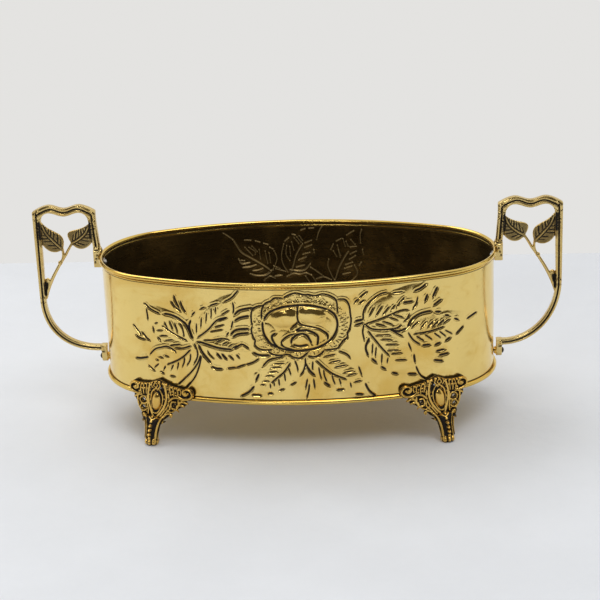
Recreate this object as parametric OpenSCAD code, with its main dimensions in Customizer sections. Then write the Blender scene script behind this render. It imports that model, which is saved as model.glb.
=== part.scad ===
// Oval brass planter pot on four cast feet, with two pierced cast handles. Millimetres, +Z up,
// long side along X, front towards -Y, origin on the ground under the pot's middle.

/* [Body] */
// length over the outside of the wall
body_length = 372; // [330:1:420]
// width over the outside of the wall
body_width = 184; // [176:1:214]
// radius of the two round ends
end_radius = 69; // [64:1:74]
// height from the floor sheet up to the middle of the rolled rim
wall_height = 116; // [104:1:140]
// thickness of the brass sheet
sheet_t = 0.8; // [0.6:0.1:1.2]
// gap left under the floor bead
leg_height = 48; // [42:1:58]
/* [Rim and floor bead] */
// diameter of the steel wire in the rim
wire_d = 1.8; // [1.6:0.1:2.4]
// height of the bead that closes the floor seam
bead_d = 4.4; // [4:0.1:5]
/* [Handles] */
// how far a handle stands out from the rim
handle_reach = 60.4; // [54:0.2:70]
// how far a handle's corners stand above the rim's middle
handle_rise = 44.6; // [38:1:54]
// thickness of the flat handle casting
handle_t = 6; // [5:0.5:8]
// width of the bars at the top of a handle
bar_w = 7.2; // [6:0.2:8.4]
// width of the curved lower arm
arm_w = 5.6; // [5:0.2:6.4]
/* [Feet] */
// where a foot sits: how far the wall there is turned from the front, in degrees
foot_angle = 19.6; // [18:0.2:21]
// how far a toe leans outwards along the wall
foot_lean = 10.4; // [6:0.2:13]
// thickness of the foot's shaped plate
foot_plate_t = 4.2; // [3.6:0.1:5]
/* [Fixings] */
// diameter of every screw's thread
screw_d = 3; // [2.6:0.1:3.4]
// diameter of the screw heads
head_d = 5.6; // [5:0.1:6.4]
/* [Hidden] */
$fn = 48;

// clearances and small shared sizes
gap = 0.3;
thread_gap = 0.05;
hole_gap = 0.25;
eps = 0.01;
// the long arc runs this far into the ends, in degrees, where their cut is slimmer by the inset
lap = 0.05;
inset = 0.02;

// four-arc oval: two end arcs of end_radius joined by two long arcs of side_radius
half_l = body_length / 2;
half_w = body_width / 2;
end_x = half_l - end_radius;
side_radius = (end_x * end_x + half_w * half_w - end_radius * end_radius) / (2 * (half_w - end_radius));
side_y = side_radius - half_w;
join_angle = atan2(end_x, side_y);

// heights
floor_z = leg_height;
rim_z = floor_z + wall_height;
roll_x = wire_d / 2 + gap + thread_gap;
roll_r = roll_x + 0.85 * sheet_t;
bead_r = bead_d / 2;
rim_out = roll_x + roll_r;
fold_z = rim_z - roll_r - 1.6;
fold_r = 0.7;
bead_x = 0.7;
bead_z = floor_z + 0.6;
bead_out = bead_x + bead_r;
bead_top = bead_z + bead_r;
flange_w = 1.5;
edge_w = 6;

// handle outline in the plane of the casting: u runs outwards, z up
bar_in = half_l + rim_out + gap;
bar_out = bar_in + handle_reach;
corner_z = rim_z + handle_rise;
u_mid = (bar_in + bar_out) / 2;
u_half = (bar_out - bar_in) / 2;
crest_at = 0.48;
crest_rise = 6.4;
dip_rise = 3;
top_bar_h = 7.6;
shoulder_drop = 9.4;
block_low_z = rim_z - 11;
block_high_z = rim_z + 6;
block_out = bar_in + 4.8;
inner_lean = 2.2;
block_y = 9;
upper_screw_z = rim_z - 7.2;
lug_top_z = floor_z + 24.6;
lug_low_z = floor_z + 7;
lug_in = half_l + 2.4;
lug_out = lug_in + 5.6;
lug_y = 8;
lower_screw_z = floor_z + 12.4;
groove_w = 1.3;
groove_deep = 0.8;

// foot, in its own frame: x outwards along the wall, -y away from the wall
foot_top_z = floor_z + 17.6;
foot_screw_z = floor_z + 9.4;
scroll_r = 6;
plate_in = bead_out + gap;
plate_out = gap + foot_plate_t;
ankle_r = 5.6;
toe_r = 6.6;
toe_y = -7.6;

// points on a cubic curve through two ends, pulled by two handles
function curve(a, b, c, d, n) = [for (i = [0 : n])
    let (t = i / n, s = 1 - t) s * s * s * a + 3 * s * s * t * b + 3 * s * t * t * c + t * t * t * d];

// a quarter of a squared-off ellipse, from its side down to its lowest point
function arm_curve(cx, cz, a, b, p, n) = [for (i = [0 : n])
    let (t = 90 * i / n) [cx + a * pow(cos(t), 2 / p), cz - b * pow(sin(t), 2 / p)]];

// a cut turned round one end; child profiles take their own inset there
module sweep_end(from_angle, angle) {
    translate([end_x, 0, 0])
        rotate([0, 0, from_angle])
            rotate_extrude(angle = angle, $fn = 192)
                translate([end_radius, 0])
                    children();
}

// a cut turned along the long arc on the front
module sweep_side(half_angle) {
    translate([0, side_y, 0])
        rotate([0, 0, -90 - half_angle])
            rotate_extrude(angle = 2 * half_angle, $fn = 720)
                translate([side_radius, 0])
                    children();
}

// half the oval, from one end seam round the front to the other: the first child goes along the
// side and the second, a little slimmer, round the ends and just into the first
module sweep_half() {
    sweep_side(join_angle + lap) children(0);
    for (s = [0, 1])
        mirror([s, 0, 0])
            sweep_end(join_angle - 90, 90 - join_angle) children(1);
}

// a screw bore or shank along X through the seam at a given height
module end_bore(d, x0, x1, z) {
    translate([x0, 0, z])
        rotate([0, 90, 0])
            cylinder(d = d, h = x1 - x0, $fn = 32);
}

// point of the wall that faces an angle, on the long arc or past its end on the round one
function wall_point(a) = a <= join_angle
    ? [side_radius * sin(a), side_y - side_radius * cos(a)]
    : [end_x + end_radius * sin(a), -end_radius * cos(a)];

// a plan point seen from the foot's place, x along the wall there and -y away from it
function from_foot(p) = let (q = p - wall_point(foot_angle))
    [q[0] * cos(foot_angle) + q[1] * sin(foot_angle), q[1] * cos(foot_angle) - q[0] * sin(foot_angle)];
function arc_y(c, r, x) = c[1] - sqrt(r * r - (x - c[0]) * (x - c[0]));

// how far the wall falls back from the foot's middle, at x along it
function wall_drop(x) = x <= from_foot(wall_point(join_angle))[0]
    ? arc_y(from_foot([0, side_y]), side_radius, x)
    : arc_y(from_foot([end_x, 0]), end_radius, x);

module place_foot() {
    translate(wall_point(foot_angle))
        rotate([0, 0, foot_angle])
            children();
}

// ---- wall, rim and floor --------------------------------------------------------------
// cut through the upright sheet with its out-turned foot flange
module sheet_profile(d) {
    top = rim_z - sheet_t / 2;
    polygon([[-sheet_t + d, floor_z + d], [flange_w - d, floor_z + d],
        [flange_w - d, floor_z + sheet_t - d], [-d, floor_z + sheet_t - d], [-d, top - d],
        [-sheet_t + d, top - d]]);
}

// cut through the rim rolled over its wire, and the fold ridge below it
module roll_profile(d) {
    difference() {
        translate([roll_x, rim_z])
            circle(r = roll_r - d);
        translate([roll_x, rim_z])
            circle(d = wire_d + 2 * gap + 2 * d, $fn = 32);
    }
    translate([fold_r - 0.8 * sheet_t, fold_z])
        circle(r = fold_r - d, $fn = 24);
}

module front_wall() {
    color("goldenrod")
        difference() {
            union() {
                sweep_half() {
                    sheet_profile(0);
                    sheet_profile(inset);
                }
                sweep_half() {
                    roll_profile(0);
                    roll_profile(inset);
                }
            }
            for (s = [-1, 1]) {
                end_bore(screw_d + 2 * hole_gap, s * half_l - 6, s * half_l + 6, upper_screw_z);
                end_bore(screw_d + 2 * hole_gap, s * half_l - 6, s * half_l + 6, lower_screw_z);
            }
            foot_bore(screw_d + 2 * hole_gap, -6, 6);
            mirror([1, 0, 0])
                foot_bore(screw_d + 2 * hole_gap, -6, 6);
        }
}

module back_wall() {
    rotate([0, 0, 180])
        front_wall();
}

// closed ring of wire
module rim_wire() {
    color("silver")
        for (s = [0, 1]) {
            mirror([0, s, 0])
                sweep_side(join_angle + lap)
                    translate([roll_x, rim_z])
                        circle(d = wire_d, $fn = 32);
            mirror([s, 0, 0])
                sweep_end(join_angle - 90, 180 - 2 * join_angle)
                    translate([roll_x, rim_z])
                        circle(d = wire_d - 2 * inset, $fn = 32);
        }
}

// points of the oval pushed out by off
function oval_points(off, n) = concat(
    [for (i = [-n : n]) let (a = i * (90 - join_angle) / n)
        [end_x + (end_radius + off) * cos(a), (end_radius + off) * sin(a)]],
    [for (i = [1 : n - 1]) let (a = join_angle - 2 * join_angle * i / n)
        [(side_radius + off) * sin(a), (side_radius + off) * cos(a) - side_y]],
    [for (i = [-n : n]) let (a = 180 + i * (90 - join_angle) / n)
        [-end_x + (end_radius + off) * cos(a), (end_radius + off) * sin(a)]],
    [for (i = [1 : n - 1]) let (a = -join_angle + 2 * join_angle * i / n)
        [(side_radius + off) * sin(a), side_y - (side_radius + off) * cos(a)]]);

// cut through the floor sheet's edge, rolled up round the wall's flange into a bead
module bead_profile(d) {
    difference() {
        union() {
            translate([bead_x, bead_z])
                circle(r = bead_r - d, $fn = 40);
            translate([-edge_w, floor_z - sheet_t + d])
                square([edge_w, sheet_t - 2 * d]);
        }
        translate([-2 * bead_r, floor_z - d])
            square([2 * bead_r + gap + d, 2 * bead_r]);
        translate([-2 * bead_r, floor_z - d])
            square([2 * bead_r + flange_w + gap + d, sheet_t + gap + 2 * d]);
        translate([-2 * bead_r - edge_w, floor_z - sheet_t - 2 * bead_r + d])
            square([2 * bead_r + edge_w, 2 * bead_r]);
    }
}

// floor sheet with its rolled edge; the flat middle is a little slimmer than the edge it joins
module base_plate() {
    color("darkgoldenrod")
        union() {
            translate([0, 0, floor_z - sheet_t + 2 * inset])
                linear_extrude(height = sheet_t - 4 * inset)
                    polygon(oval_points(-edge_w / 2, 24));
            for (s = [0, 1]) {
                mirror([0, s, 0])
                    sweep_side(join_angle + lap)
                        bead_profile(0);
                mirror([s, 0, 0])
                    sweep_end(join_angle - 90, 180 - 2 * join_angle)
                        bead_profile(inset);
            }
        }
}

// ---- feet -----------------------------------------------------------------------------
module foot_bore(d, y0, y1) {
    place_foot()
        translate([0, y1, foot_screw_z])
            rotate([90, 0, 0])
                cylinder(d = d, h = y1 - y0, $fn = 32);
}

// triangular shield outline with a crown and two scrolls
module foot_outline() {
    polygon([
        [0, foot_top_z], [5, foot_top_z - 2.2], [12, foot_top_z - 5], [26, foot_top_z - 6],
        [28, foot_top_z - 16], [28.6, foot_top_z - 21], [23, foot_top_z - 29],
        [20.4, foot_top_z - 38], [foot_lean + 6.8, foot_top_z - 44],
        [foot_lean - 8.6, foot_top_z - 44], [-6, foot_top_z - 38], [-12, foot_top_z - 31],
        [-25, foot_top_z - 24], [-25.6, foot_top_z - 18], [-26, foot_top_z - 8],
        [-12, foot_top_z - 5.4], [-5, foot_top_z - 2.6]]);
    translate([26.5, foot_top_z - 11])
        circle(r = scroll_r, $fn = 32);
    translate([-27.5, foot_top_z - 12.6])
        circle(r = scroll_r, $fn = 32);
}

module foot_holes() {
    for (p = [[18.6, 23], [19.4, 30.4], [-14.6, 25]])
        translate([p[0], foot_top_z - p[1]])
            circle(r = 1.9, $fn = 20);
}

// raised spiral rings, cabochon, beads and leaf ribs on the front of the shield
module foot_ornament() {
    front_y = -plate_out;
    for (c = [[26.5, 11, 1.4], [-27.5, 12.6, 1]])
        translate([c[0], front_y + max(c[2], wall_drop(c[0]) - 0.1), foot_top_z - c[1]])
            rotate([90, 0, 0]) {
                rotate_extrude($fn = 40)
                    translate([scroll_r - 1.6, 0])
                        circle(r = 1.5, $fn = 16);
                cylinder(r = 1.8, h = 2.4, center = true, $fn = 20);
            }
    translate([4.4, front_y + 0.4, foot_top_z - 24])
        rotate([0, -9, 0])
            scale([5.2, 3.4, 10.6])
                sphere(r = 1, $fn = 40);
    for (s = [-1, 1])
        for (i = [0 : 4])
            let (x = s * (4.4 + 3.4 * i) - 0.4)
                translate([x, front_y + max(0.2, wall_drop(x) - 0.3), foot_top_z - 4.4 - 1.1 * i])
                    sphere(r = 2 - 0.14 * i, $fn = 20);
    for (s = [-1, 1])
        translate([4.4 + s * 9.2, front_y + 0.5, foot_top_z - 24])
            rotate([0, -9 - s * 6, 0])
                scale([1.7, 1.6, 12])
                    sphere(r = 1, $fn = 24);
    for (i = [0 : 3])
        translate([foot_lean - 1.6 + 0.5 * i, toe_y + 2.6 - ankle_r - 0.8 * i, 24 - 4.2 * i])
            sphere(r = 1.7, $fn = 20);
}

// leg below the shield: a turned taper leaning out to a clawed toe that stands on the ground
module foot_leg() {
    knee = [foot_lean - 1.6, toe_y + 4.4, foot_top_z - 40];
    toe = [foot_lean, toe_y, toe_r - 1.4];
    run = knee - toe;
    length = norm(run);
    translate(toe)
        rotate([0, acos(run[2] / length), atan2(run[1], run[0])])
            rotate_extrude($fn = 40)
                polygon(concat([[0, 0]],
                    [for (i = [0 : 12]) let (t = i / 12)
                        [ankle_r + 0.7 * pow(1 - t, 3) + 2.2 * pow(t, 3), length * t]],
                    [[0, length + 3]]));
    for (s = [-1, 0, 1])
        translate([foot_lean + s * 3.1, toe_y - 1.6 + abs(s) * 1.4, 3])
            scale([3.6, 5.8, 4.2])
                sphere(r = 1, $fn = 32);
}

// band that follows the oval between two offsets
module oval_band(low, high, z0, z1) {
    translate([0, 0, z0])
        linear_extrude(height = z1 - z0)
            difference() {
                polygon(oval_points(high, 24));
                polygon(oval_points(low, 24));
            }
}

// right front foot
module foot_body() {
    difference() {
        union() {
            intersection() {
                oval_band(gap, plate_out, 1, foot_top_z + 1);
                place_foot()
                    translate([0, 14, 0])
                        rotate([90, 0, 0])
                            linear_extrude(height = 30)
                                difference() {
                                    foot_outline();
                                    foot_holes();
                                }
            }
            place_foot() {
                foot_ornament();
                foot_leg();
                translate([0, -plate_out + 0.6, foot_screw_z])
                    sphere(r = 3, $fn = 28);
            }
        }
        oval_band(-10, plate_in, bead_z - bead_r - gap, bead_top + gap);
        foot_bore(screw_d + 2 * thread_gap, -plate_out, 6);
        translate([0, -half_w, -20])
            cube([2 * half_l, half_w, 20]);
    }
}

module foot(sx, sy) {
    color("darkgoldenrod")
        mirror([1 - sx, 0, 0])
            mirror([0, 1 + sy, 0])
                foot_body();
}

module foot_front_left() {
    foot(-1, -1);
}

module foot_front_right() {
    foot(1, -1);
}

module foot_back_left() {
    foot(-1, 1);
}

module foot_back_right() {
    foot(1, 1);
}

// screw from inside the pot through the wall into the back of a foot
module foot_screw(sx, sy) {
    color("silver")
        mirror([1 - sx, 0, 0])
            mirror([0, 1 + sy, 0])
                place_foot() {
                    translate([0, sheet_t + gap / 3, foot_screw_z])
                        rotate([90, 0, 0])
                            cylinder(d = screw_d, h = sheet_t + plate_out - gap, $fn = 32);
                    translate([0, sheet_t + gap / 3, foot_screw_z])
                        screw_head([-90, 0, 0]);
                }
}

// domed head with a slot, flat side on the origin
module screw_head(turn) {
    rotate(turn)
        difference() {
            intersection() {
                cylinder(d = head_d, h = head_d / 2, $fn = 32);
                translate([0, 0, -head_d / 4])
                    sphere(d = head_d * 1.24, $fn = 40);
            }
            translate([-head_d, -0.4, head_d * 0.22])
                cube([2 * head_d, 0.8, head_d]);
        }
}

module foot_screw_front_left() {
    foot_screw(-1, -1);
}

module foot_screw_front_right() {
    foot_screw(1, -1);
}

module foot_screw_back_left() {
    foot_screw(-1, 1);
}

module foot_screw_back_right() {
    foot_screw(1, 1);
}

// ---- handles --------------------------------------------------------------------------
// upper edge of the double-waved top bar
function wave_z(w) = w < crest_at
    ? corner_z + dip_rise + (crest_rise - dip_rise) * (1 - cos(180 * w / crest_at)) / 2
    : corner_z + crest_rise * (1 - pow((w - crest_at) / (1 - crest_at), 1.6));

// lower edge of the same bar, with rounded shoulders
function under_z(w, w_end) = w < crest_at
    ? wave_z(w) - top_bar_h
    : corner_z + crest_rise - top_bar_h
        - shoulder_drop * (1 - sqrt(max(0, 1 - pow((w - crest_at) / (w_end - crest_at), 2))));

module top_bar() {
    n = 40;
    w_end = 1 - bar_w / u_half;
    polygon(concat(
        [for (i = [-n : n]) [u_mid + u_half * i / n, wave_z(abs(i / n))]],
        [[bar_out, corner_z - 12], [bar_out - bar_w, corner_z - 12]],
        [for (i = [n : -1 : -n])
            [u_mid + u_half * w_end * i / n, under_z(abs(w_end * i / n), w_end)]],
        [[bar_in + bar_w, corner_z - 12], [bar_in, corner_z - 12]]));
}

// closed frame: inner bar, top bar, outer bar and the curved arm down to the lug
module frame_shape(arc_drop, arc_power) {
    arc_z = rim_z - arc_drop;
    arc_low = lug_top_z - arm_w - 0.4;
    outer = arm_curve(lug_out, arc_z, bar_out - lug_out, arc_z - arc_low, arc_power, 24);
    inner = arm_curve(lug_out, arc_z, bar_out - arm_w - lug_out, arc_z - arc_low - arm_w,
        arc_power, 24);
    polygon([[bar_in - inner_lean, block_high_z - 1], [bar_in - inner_lean + bar_w - 0.8, block_high_z - 1],
        [bar_in + bar_w, corner_z - 11], [bar_in, corner_z - 11]]);
    top_bar();
    polygon([[bar_out - bar_w, corner_z - 11], [bar_out, corner_z - 11], [bar_out, arc_z],
        [bar_out - arm_w, arc_z]]);
    polygon(concat(outer, [[lug_in + 1, arc_low + 0.2], [lug_in + 1, arc_low + arm_w]],
        [for (i = [24 : -1 : 0]) inner[i]]));
}

// line down the middle of every bar, cut into both faces
module frame_groove(arc_drop, arc_power) {
    arc_z = rim_z - arc_drop;
    arc_low = lug_top_z - arm_w - 0.4;
    h = groove_w / 2;
    n = 32;
    outer = arm_curve(lug_out, arc_z, bar_out - arm_w / 2 + h - lug_out,
        arc_z - arc_low - arm_w / 2 + h, arc_power, 24);
    inner = arm_curve(lug_out, arc_z, bar_out - arm_w / 2 - h - lug_out,
        arc_z - arc_low - arm_w / 2 - h, arc_power, 24);
    reach = u_half - bar_w / 2;
    top_z = corner_z - top_bar_h / 2 + h;
    low_x = bar_in - inner_lean + bar_w / 2;
    polygon([[low_x - h, block_high_z + 3], [low_x + h, block_high_z + 3],
        [bar_in + bar_w / 2 + h, corner_z - 11], [bar_in + bar_w / 2 + h, top_z],
        [bar_in + bar_w / 2 - h, top_z], [bar_in + bar_w / 2 - h, corner_z - 11]]);
    polygon(concat(
        [for (i = [-n : n]) [u_mid + (reach + h) * i / n, wave_z(abs(i / n)) - top_bar_h / 2 + h]],
        [for (i = [n : -1 : -n]) [u_mid + (reach + h) * i / n, wave_z(abs(i / n)) - top_bar_h / 2 - h]]));
    polygon([[bar_out - bar_w / 2 - h, top_z], [bar_out - bar_w / 2 + h, top_z],
        [bar_out - arm_w / 2 + h, arc_z], [bar_out - arm_w / 2 - h, arc_z]]);
    polygon(concat(outer, [for (i = [24 : -1 : 0]) inner[i]]));
}

// pointed leaf hanging from the outer bar; off is measured from the bar's outer corner
function out_pt(p) = [bar_out - p[0], corner_z - p[1]];
function in_pt(p) = [bar_in + p[0], corner_z - p[1]];

module outer_leaf() {
    polygon(concat(
        curve(out_pt([5.6, 7]), out_pt([14, 24.5]), out_pt([33, 17.5]), out_pt([26.5, 37.6]), 14),
        curve(out_pt([26.5, 37.6]), out_pt([19, 44.4]), out_pt([9, 40.4]), out_pt([5.6, 29.4]), 12)));
}

module inner_leaf() {
    polygon(concat(
        curve(in_pt([4.6, 9]), in_pt([14, 25]), in_pt([37, 12.5]), in_pt([25.6, 32]), 14),
        curve(in_pt([25.6, 32]), in_pt([20, 41]), in_pt([10, 39.5]), in_pt([4.6, 30]), 12)));
}

// ribbon of given width along a curve
module ribbon(a, b, c, d, w0, w1, n) {
    line = curve(a, b, c, d, n);
    side = [for (i = [0 : n])
        let (p = line[max(0, i - 1)], q = line[min(n, i + 1)], t = (q - p) / norm(q - p))
            [-t[1], t[0]] * (w0 + (w1 - w0) * i / n) / 2];
    polygon(concat([for (i = [0 : n]) line[i] + side[i]], [for (i = [n : -1 : 0]) line[i] - side[i]]));
}

module stem_shape() {
    ribbon(out_pt([5.2, 88]), out_pt([10, 72]), out_pt([19, 57]), out_pt([29, 43]), 3.6, 2.6, 14);
    ribbon(out_pt([29, 43]), out_pt([31, 39]), out_pt([33, 36]), out_pt([35.6, 32]), 2.6, 2.4, 6);
    ribbon(out_pt([24.4, 49.6]), out_pt([26.4, 46]), out_pt([26.6, 42]), out_pt([25.6, 36]), 2.6, 2, 8);
}

module vein_shape() {
    ribbon(out_pt([25.6, 37.6]), out_pt([18, 30]), out_pt([11, 22]), out_pt([8, 12]), 2, 0.9, 10);
    ribbon(in_pt([25.6, 32]), in_pt([18, 29]), in_pt([10, 22]), in_pt([7, 14]), 2.2, 0.9, 10);
}

// thin web closing the corner under the round berry
module web_shape() {
    polygon([out_pt([5, 68]), out_pt([10.6, 68.4]), out_pt([6.4, 84]), out_pt([5, 86])]);
}

module flat(t, shift = 0) {
    translate([0, t / 2 + shift, 0])
        rotate([90, 0, 0])
            linear_extrude(height = t)
                children();
}

module handle_body(arc_drop, arc_power) {
    leaf_t = 0.4 * handle_t;
    difference() {
        union() {
            flat(handle_t)
                frame_shape(arc_drop, arc_power);
            flat(leaf_t)
                union() {
                    outer_leaf();
                    inner_leaf();
                }
            flat(leaf_t + 1.2)
                vein_shape();
            flat(0.55 * handle_t)
                stem_shape();
            flat(0.3 * handle_t)
                web_shape();
            translate([bar_out - 9, 0, corner_z - 68.6])
                sphere(d = 3.8, $fn = 28);
            translate([bar_out - 22.6, 0, corner_z - 51.6])
                sphere(d = 4.6, $fn = 28);
            // bracket that hooks over the rim, with a collar where the bar lands on it
            translate([half_l - 2, -block_y / 2, block_low_z])
                cube([block_out - half_l + 2, block_y, block_high_z - block_low_z]);
            translate([bar_in - inner_lean - 0.4, -block_y / 2 + 1, block_high_z - eps])
                cube([bar_w, block_y - 2, 1.8]);
            // lug at the foot of the arm, with a spacer that meets the wall
            translate([lug_in, -lug_y / 2, lug_low_z + lug_y / 2])
                cube([lug_out - lug_in, lug_y, lug_top_z - lug_low_z - lug_y / 2]);
            translate([lug_in, 0, lug_low_z + lug_y / 2])
                rotate([0, 90, 0])
                    cylinder(d = lug_y, h = lug_out - lug_in, $fn = 36);
            end_bore(7, half_l - 2, lug_in + 1, lower_screw_z);
        }
        // seat against the round end of the wall
        translate([end_x, 0, floor_z])
            cylinder(r = end_radius + gap, h = 2 * wall_height, $fn = 192);
        translate([end_x, 0, rim_z])
            rotate_extrude($fn = 192)
                translate([end_radius + roll_x, 0])
                    circle(r = roll_r + gap, $fn = 32);
        translate([end_x, 0, rim_z])
            cylinder(r = end_radius + rim_out - inner_lean - 1, h = wall_height, $fn = 192);
        translate([end_x, 0, fold_z])
            rotate_extrude($fn = 192)
                translate([end_radius, 0])
                    circle(r = fold_r + gap, $fn = 24);
        for (s = [-1, 1])
            translate([0, s * (handle_t / 2 - groove_deep / 2), 0])
                flat(groove_deep + eps)
                    frame_groove(arc_drop, arc_power);
        end_bore(screw_d + 2 * thread_gap, half_l - 2, block_out - 1.6, upper_screw_z);
        end_bore(screw_d + 2 * hole_gap, half_l - 2, lug_out + 1, lower_screw_z);
        // punched dots on the bracket's outer face
        for (i = [-1 : 1])
            translate([block_out + 1.1, 2.4 * i, block_low_z + 5 + 1.6 * i])
                sphere(r = 1.6, $fn = 20);
    }
}

module handle_right() {
    color("goldenrod")
        handle_body(33, 2);
}

module handle_left() {
    color("goldenrod")
        rotate([0, 0, 180])
            handle_body(43, 2.25);
}

// ---- handle fixings -------------------------------------------------------------------
washer_d = 9;
washer_t = 0.8;
inner_x = half_l - sheet_t - gap;

module upper_screw(side) {
    color("silver")
        rotate([0, 0, side]) {
            end_bore(screw_d, inner_x - washer_t, block_out - 2.2, upper_screw_z);
            translate([inner_x - washer_t, 0, upper_screw_z])
                screw_head([0, -90, 0]);
        }
}

module washer(side, z) {
    color("silver")
        rotate([0, 0, side])
            difference() {
                end_bore(washer_d, inner_x - washer_t, inner_x, z);
                end_bore(screw_d + 2 * hole_gap, inner_x - 2, inner_x + 1, z);
            }
}

module lower_screw(side) {
    color("saddlebrown")
        rotate([0, 0, side]) {
            end_bore(screw_d, inner_x - washer_t - 3.4, lug_out, lower_screw_z);
            translate([lug_out, 0, lower_screw_z])
                screw_head([0, 90, 0]);
        }
}

module lower_nut(side) {
    nut_t = 2.4;
    color("silver")
        rotate([0, 0, side])
            difference() {
                translate([inner_x - washer_t - nut_t, 0, lower_screw_z])
                    rotate([0, 90, 0])
                        cylinder(d = 2 * screw_d, h = nut_t, $fn = 6);
                end_bore(screw_d + 2 * thread_gap, inner_x - 6, inner_x, lower_screw_z);
            }
}

module handle_upper_screw_right() {
    upper_screw(0);
}

module handle_upper_screw_left() {
    upper_screw(180);
}

module handle_upper_washer_right() {
    washer(0, upper_screw_z);
}

module handle_upper_washer_left() {
    washer(180, upper_screw_z);
}

module handle_lower_screw_right() {
    lower_screw(0);
}

module handle_lower_screw_left() {
    lower_screw(180);
}

module handle_lower_washer_right() {
    washer(0, lower_screw_z);
}

module handle_lower_washer_left() {
    washer(180, lower_screw_z);
}

module handle_lower_nut_right() {
    lower_nut(0);
}

module handle_lower_nut_left() {
    lower_nut(180);
}

front_wall();
back_wall();
rim_wire();
base_plate();
foot_front_left();
foot_front_right();
foot_back_left();
foot_back_right();
foot_screw_front_left();
foot_screw_front_right();
foot_screw_back_left();
foot_screw_back_right();
handle_left();
handle_right();
handle_upper_screw_left();
handle_upper_screw_right();
handle_upper_washer_left();
handle_upper_washer_right();
handle_lower_screw_left();
handle_lower_screw_right();
handle_lower_washer_left();
handle_lower_washer_right();
handle_lower_nut_left();
handle_lower_nut_right();
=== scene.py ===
"""Oval brass planter pot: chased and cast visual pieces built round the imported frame."""
import math

import bpy
import numpy as np
from mathutils import Matrix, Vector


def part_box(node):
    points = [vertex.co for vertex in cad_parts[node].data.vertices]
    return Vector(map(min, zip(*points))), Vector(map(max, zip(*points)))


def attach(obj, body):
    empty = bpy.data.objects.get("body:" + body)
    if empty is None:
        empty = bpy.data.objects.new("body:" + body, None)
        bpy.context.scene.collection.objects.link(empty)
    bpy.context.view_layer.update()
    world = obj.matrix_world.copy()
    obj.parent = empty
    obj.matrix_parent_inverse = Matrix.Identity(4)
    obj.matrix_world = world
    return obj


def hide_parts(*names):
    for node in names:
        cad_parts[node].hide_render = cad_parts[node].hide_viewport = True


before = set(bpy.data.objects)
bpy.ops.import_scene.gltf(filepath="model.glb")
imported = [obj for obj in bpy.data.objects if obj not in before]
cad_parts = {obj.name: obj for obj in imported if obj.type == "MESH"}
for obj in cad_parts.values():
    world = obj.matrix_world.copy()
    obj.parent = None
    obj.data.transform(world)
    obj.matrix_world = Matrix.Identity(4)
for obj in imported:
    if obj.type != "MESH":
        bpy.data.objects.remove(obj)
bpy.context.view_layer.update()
MM = 0.001

# ---- sizes in millimetres, taken from the frame's own boxes where they can be ---------------
WALL_LOW, WALL_HIGH = [[1000 * c for c in corner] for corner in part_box("front_wall")]
WIRE_LOW, WIRE_HIGH = [[1000 * c for c in corner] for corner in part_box("rim_wire")]
# thickness of the brass sheet
SHEET = 0.8
RIM_Z = (WIRE_LOW[2] + WIRE_HIGH[2]) / 2
FLOOR_Z = WALL_LOW[2]
# the roll over the rim wire: how far its middle stands out from the wall, and its radius
ROLL_X = 1.25
ROLL_R = WALL_HIGH[2] - RIM_Z
HALF_L = WALL_HIGH[0] - ROLL_X - ROLL_R
HALF_W = -WALL_LOW[1] - ROLL_X - ROLL_R
# the oval is four arcs: two ends of END_R joined by two sides of SIDE_R
END_R = 69.0
END_X = HALF_L - END_R
SIDE_R = (END_X ** 2 + HALF_W ** 2 - END_R ** 2) / (2 * (HALF_W - END_R))
SIDE_Y = SIDE_R - HALF_W
JOIN = math.atan2(END_X, SIDE_Y)
SIDE_LEN = SIDE_R * JOIN
HALF_LEN = SIDE_LEN + END_R * (math.pi / 2 - JOIN)
# the bead round the floor's edge
BEAD_X = 0.7
BEAD_R = 2.2
BEAD_Z = FLOOR_Z + 0.6
SHEET_TOP = RIM_Z - 0.6
SHEET_LOW = FLOOR_Z + 0.8
# the fold under the roll
FOLD_R = 0.9
FOLD_Z = RIM_Z - ROLL_R - 1.6
# cells of the wall's height field: how many along and up, and how large one may be merged
WALL_CELLS = (1152, 272)
LARGEST_CELL = 8
# the swelling of the wall is held below about SWELL_TOP + SWELL_SPARE
SWELL_TOP = 2.4
SWELL_SPARE = 0.65
# edge of the voxels that the castings are skinned with
FOOT_VOXEL = 0.40
HANDLE_VOXEL = 0.42
TUBE_SIDES = 10

# widths of the chased strokes
BOLD = 2.6
LINE = 1.98
FINE = 1.78


def wall_frame(s):
    """Point on the wall's outer face and the outward direction, for arc length s from the middle."""
    s = np.asarray(s, float)
    side = np.sign(s)
    a = np.abs(s)
    t = np.minimum(a, SIDE_LEN) / SIDE_R
    phi = JOIN - math.pi / 2 + np.maximum(a - SIDE_LEN, 0) / END_R
    on_side = a <= SIDE_LEN
    nx = np.where(on_side, np.sin(t), np.cos(phi))
    ny = np.where(on_side, -np.cos(t), np.sin(phi))
    x = np.where(on_side, SIDE_R * np.sin(t), END_X + END_R * np.cos(phi))
    y = np.where(on_side, SIDE_Y - SIDE_R * np.cos(t), END_R * np.sin(phi))
    return x * side, y, nx * side, ny


def smooth(points, steps=6):
    """Catmull-Rom curve through the points."""
    p = np.array(points, float)
    if len(p) < 3:
        t = np.linspace(0, 1, steps + 1)[:, None]
        return p[0] * (1 - t) + p[-1] * t
    ext = np.vstack([2 * p[0] - p[1], p, 2 * p[-1] - p[-2]])
    t = np.linspace(0, 1, steps, endpoint=False)[:, None]
    out = []
    for i in range(len(p) - 1):
        a, b, c, d = ext[i:i + 4]
        out.append(0.5 * (2 * b + (c - a) * t + (2 * a - 5 * b + 4 * c - d) * t ** 2
                          + (3 * b - a - 3 * c + d) * t ** 3))
    return np.vstack(out + [p[-1:]])


def ease(x, low, high):
    """Smooth step from 0 at low to 1 at high."""
    t = np.clip((x - low) / (high - low), 0, 1)
    return t * t * (3 - 2 * t)


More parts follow.
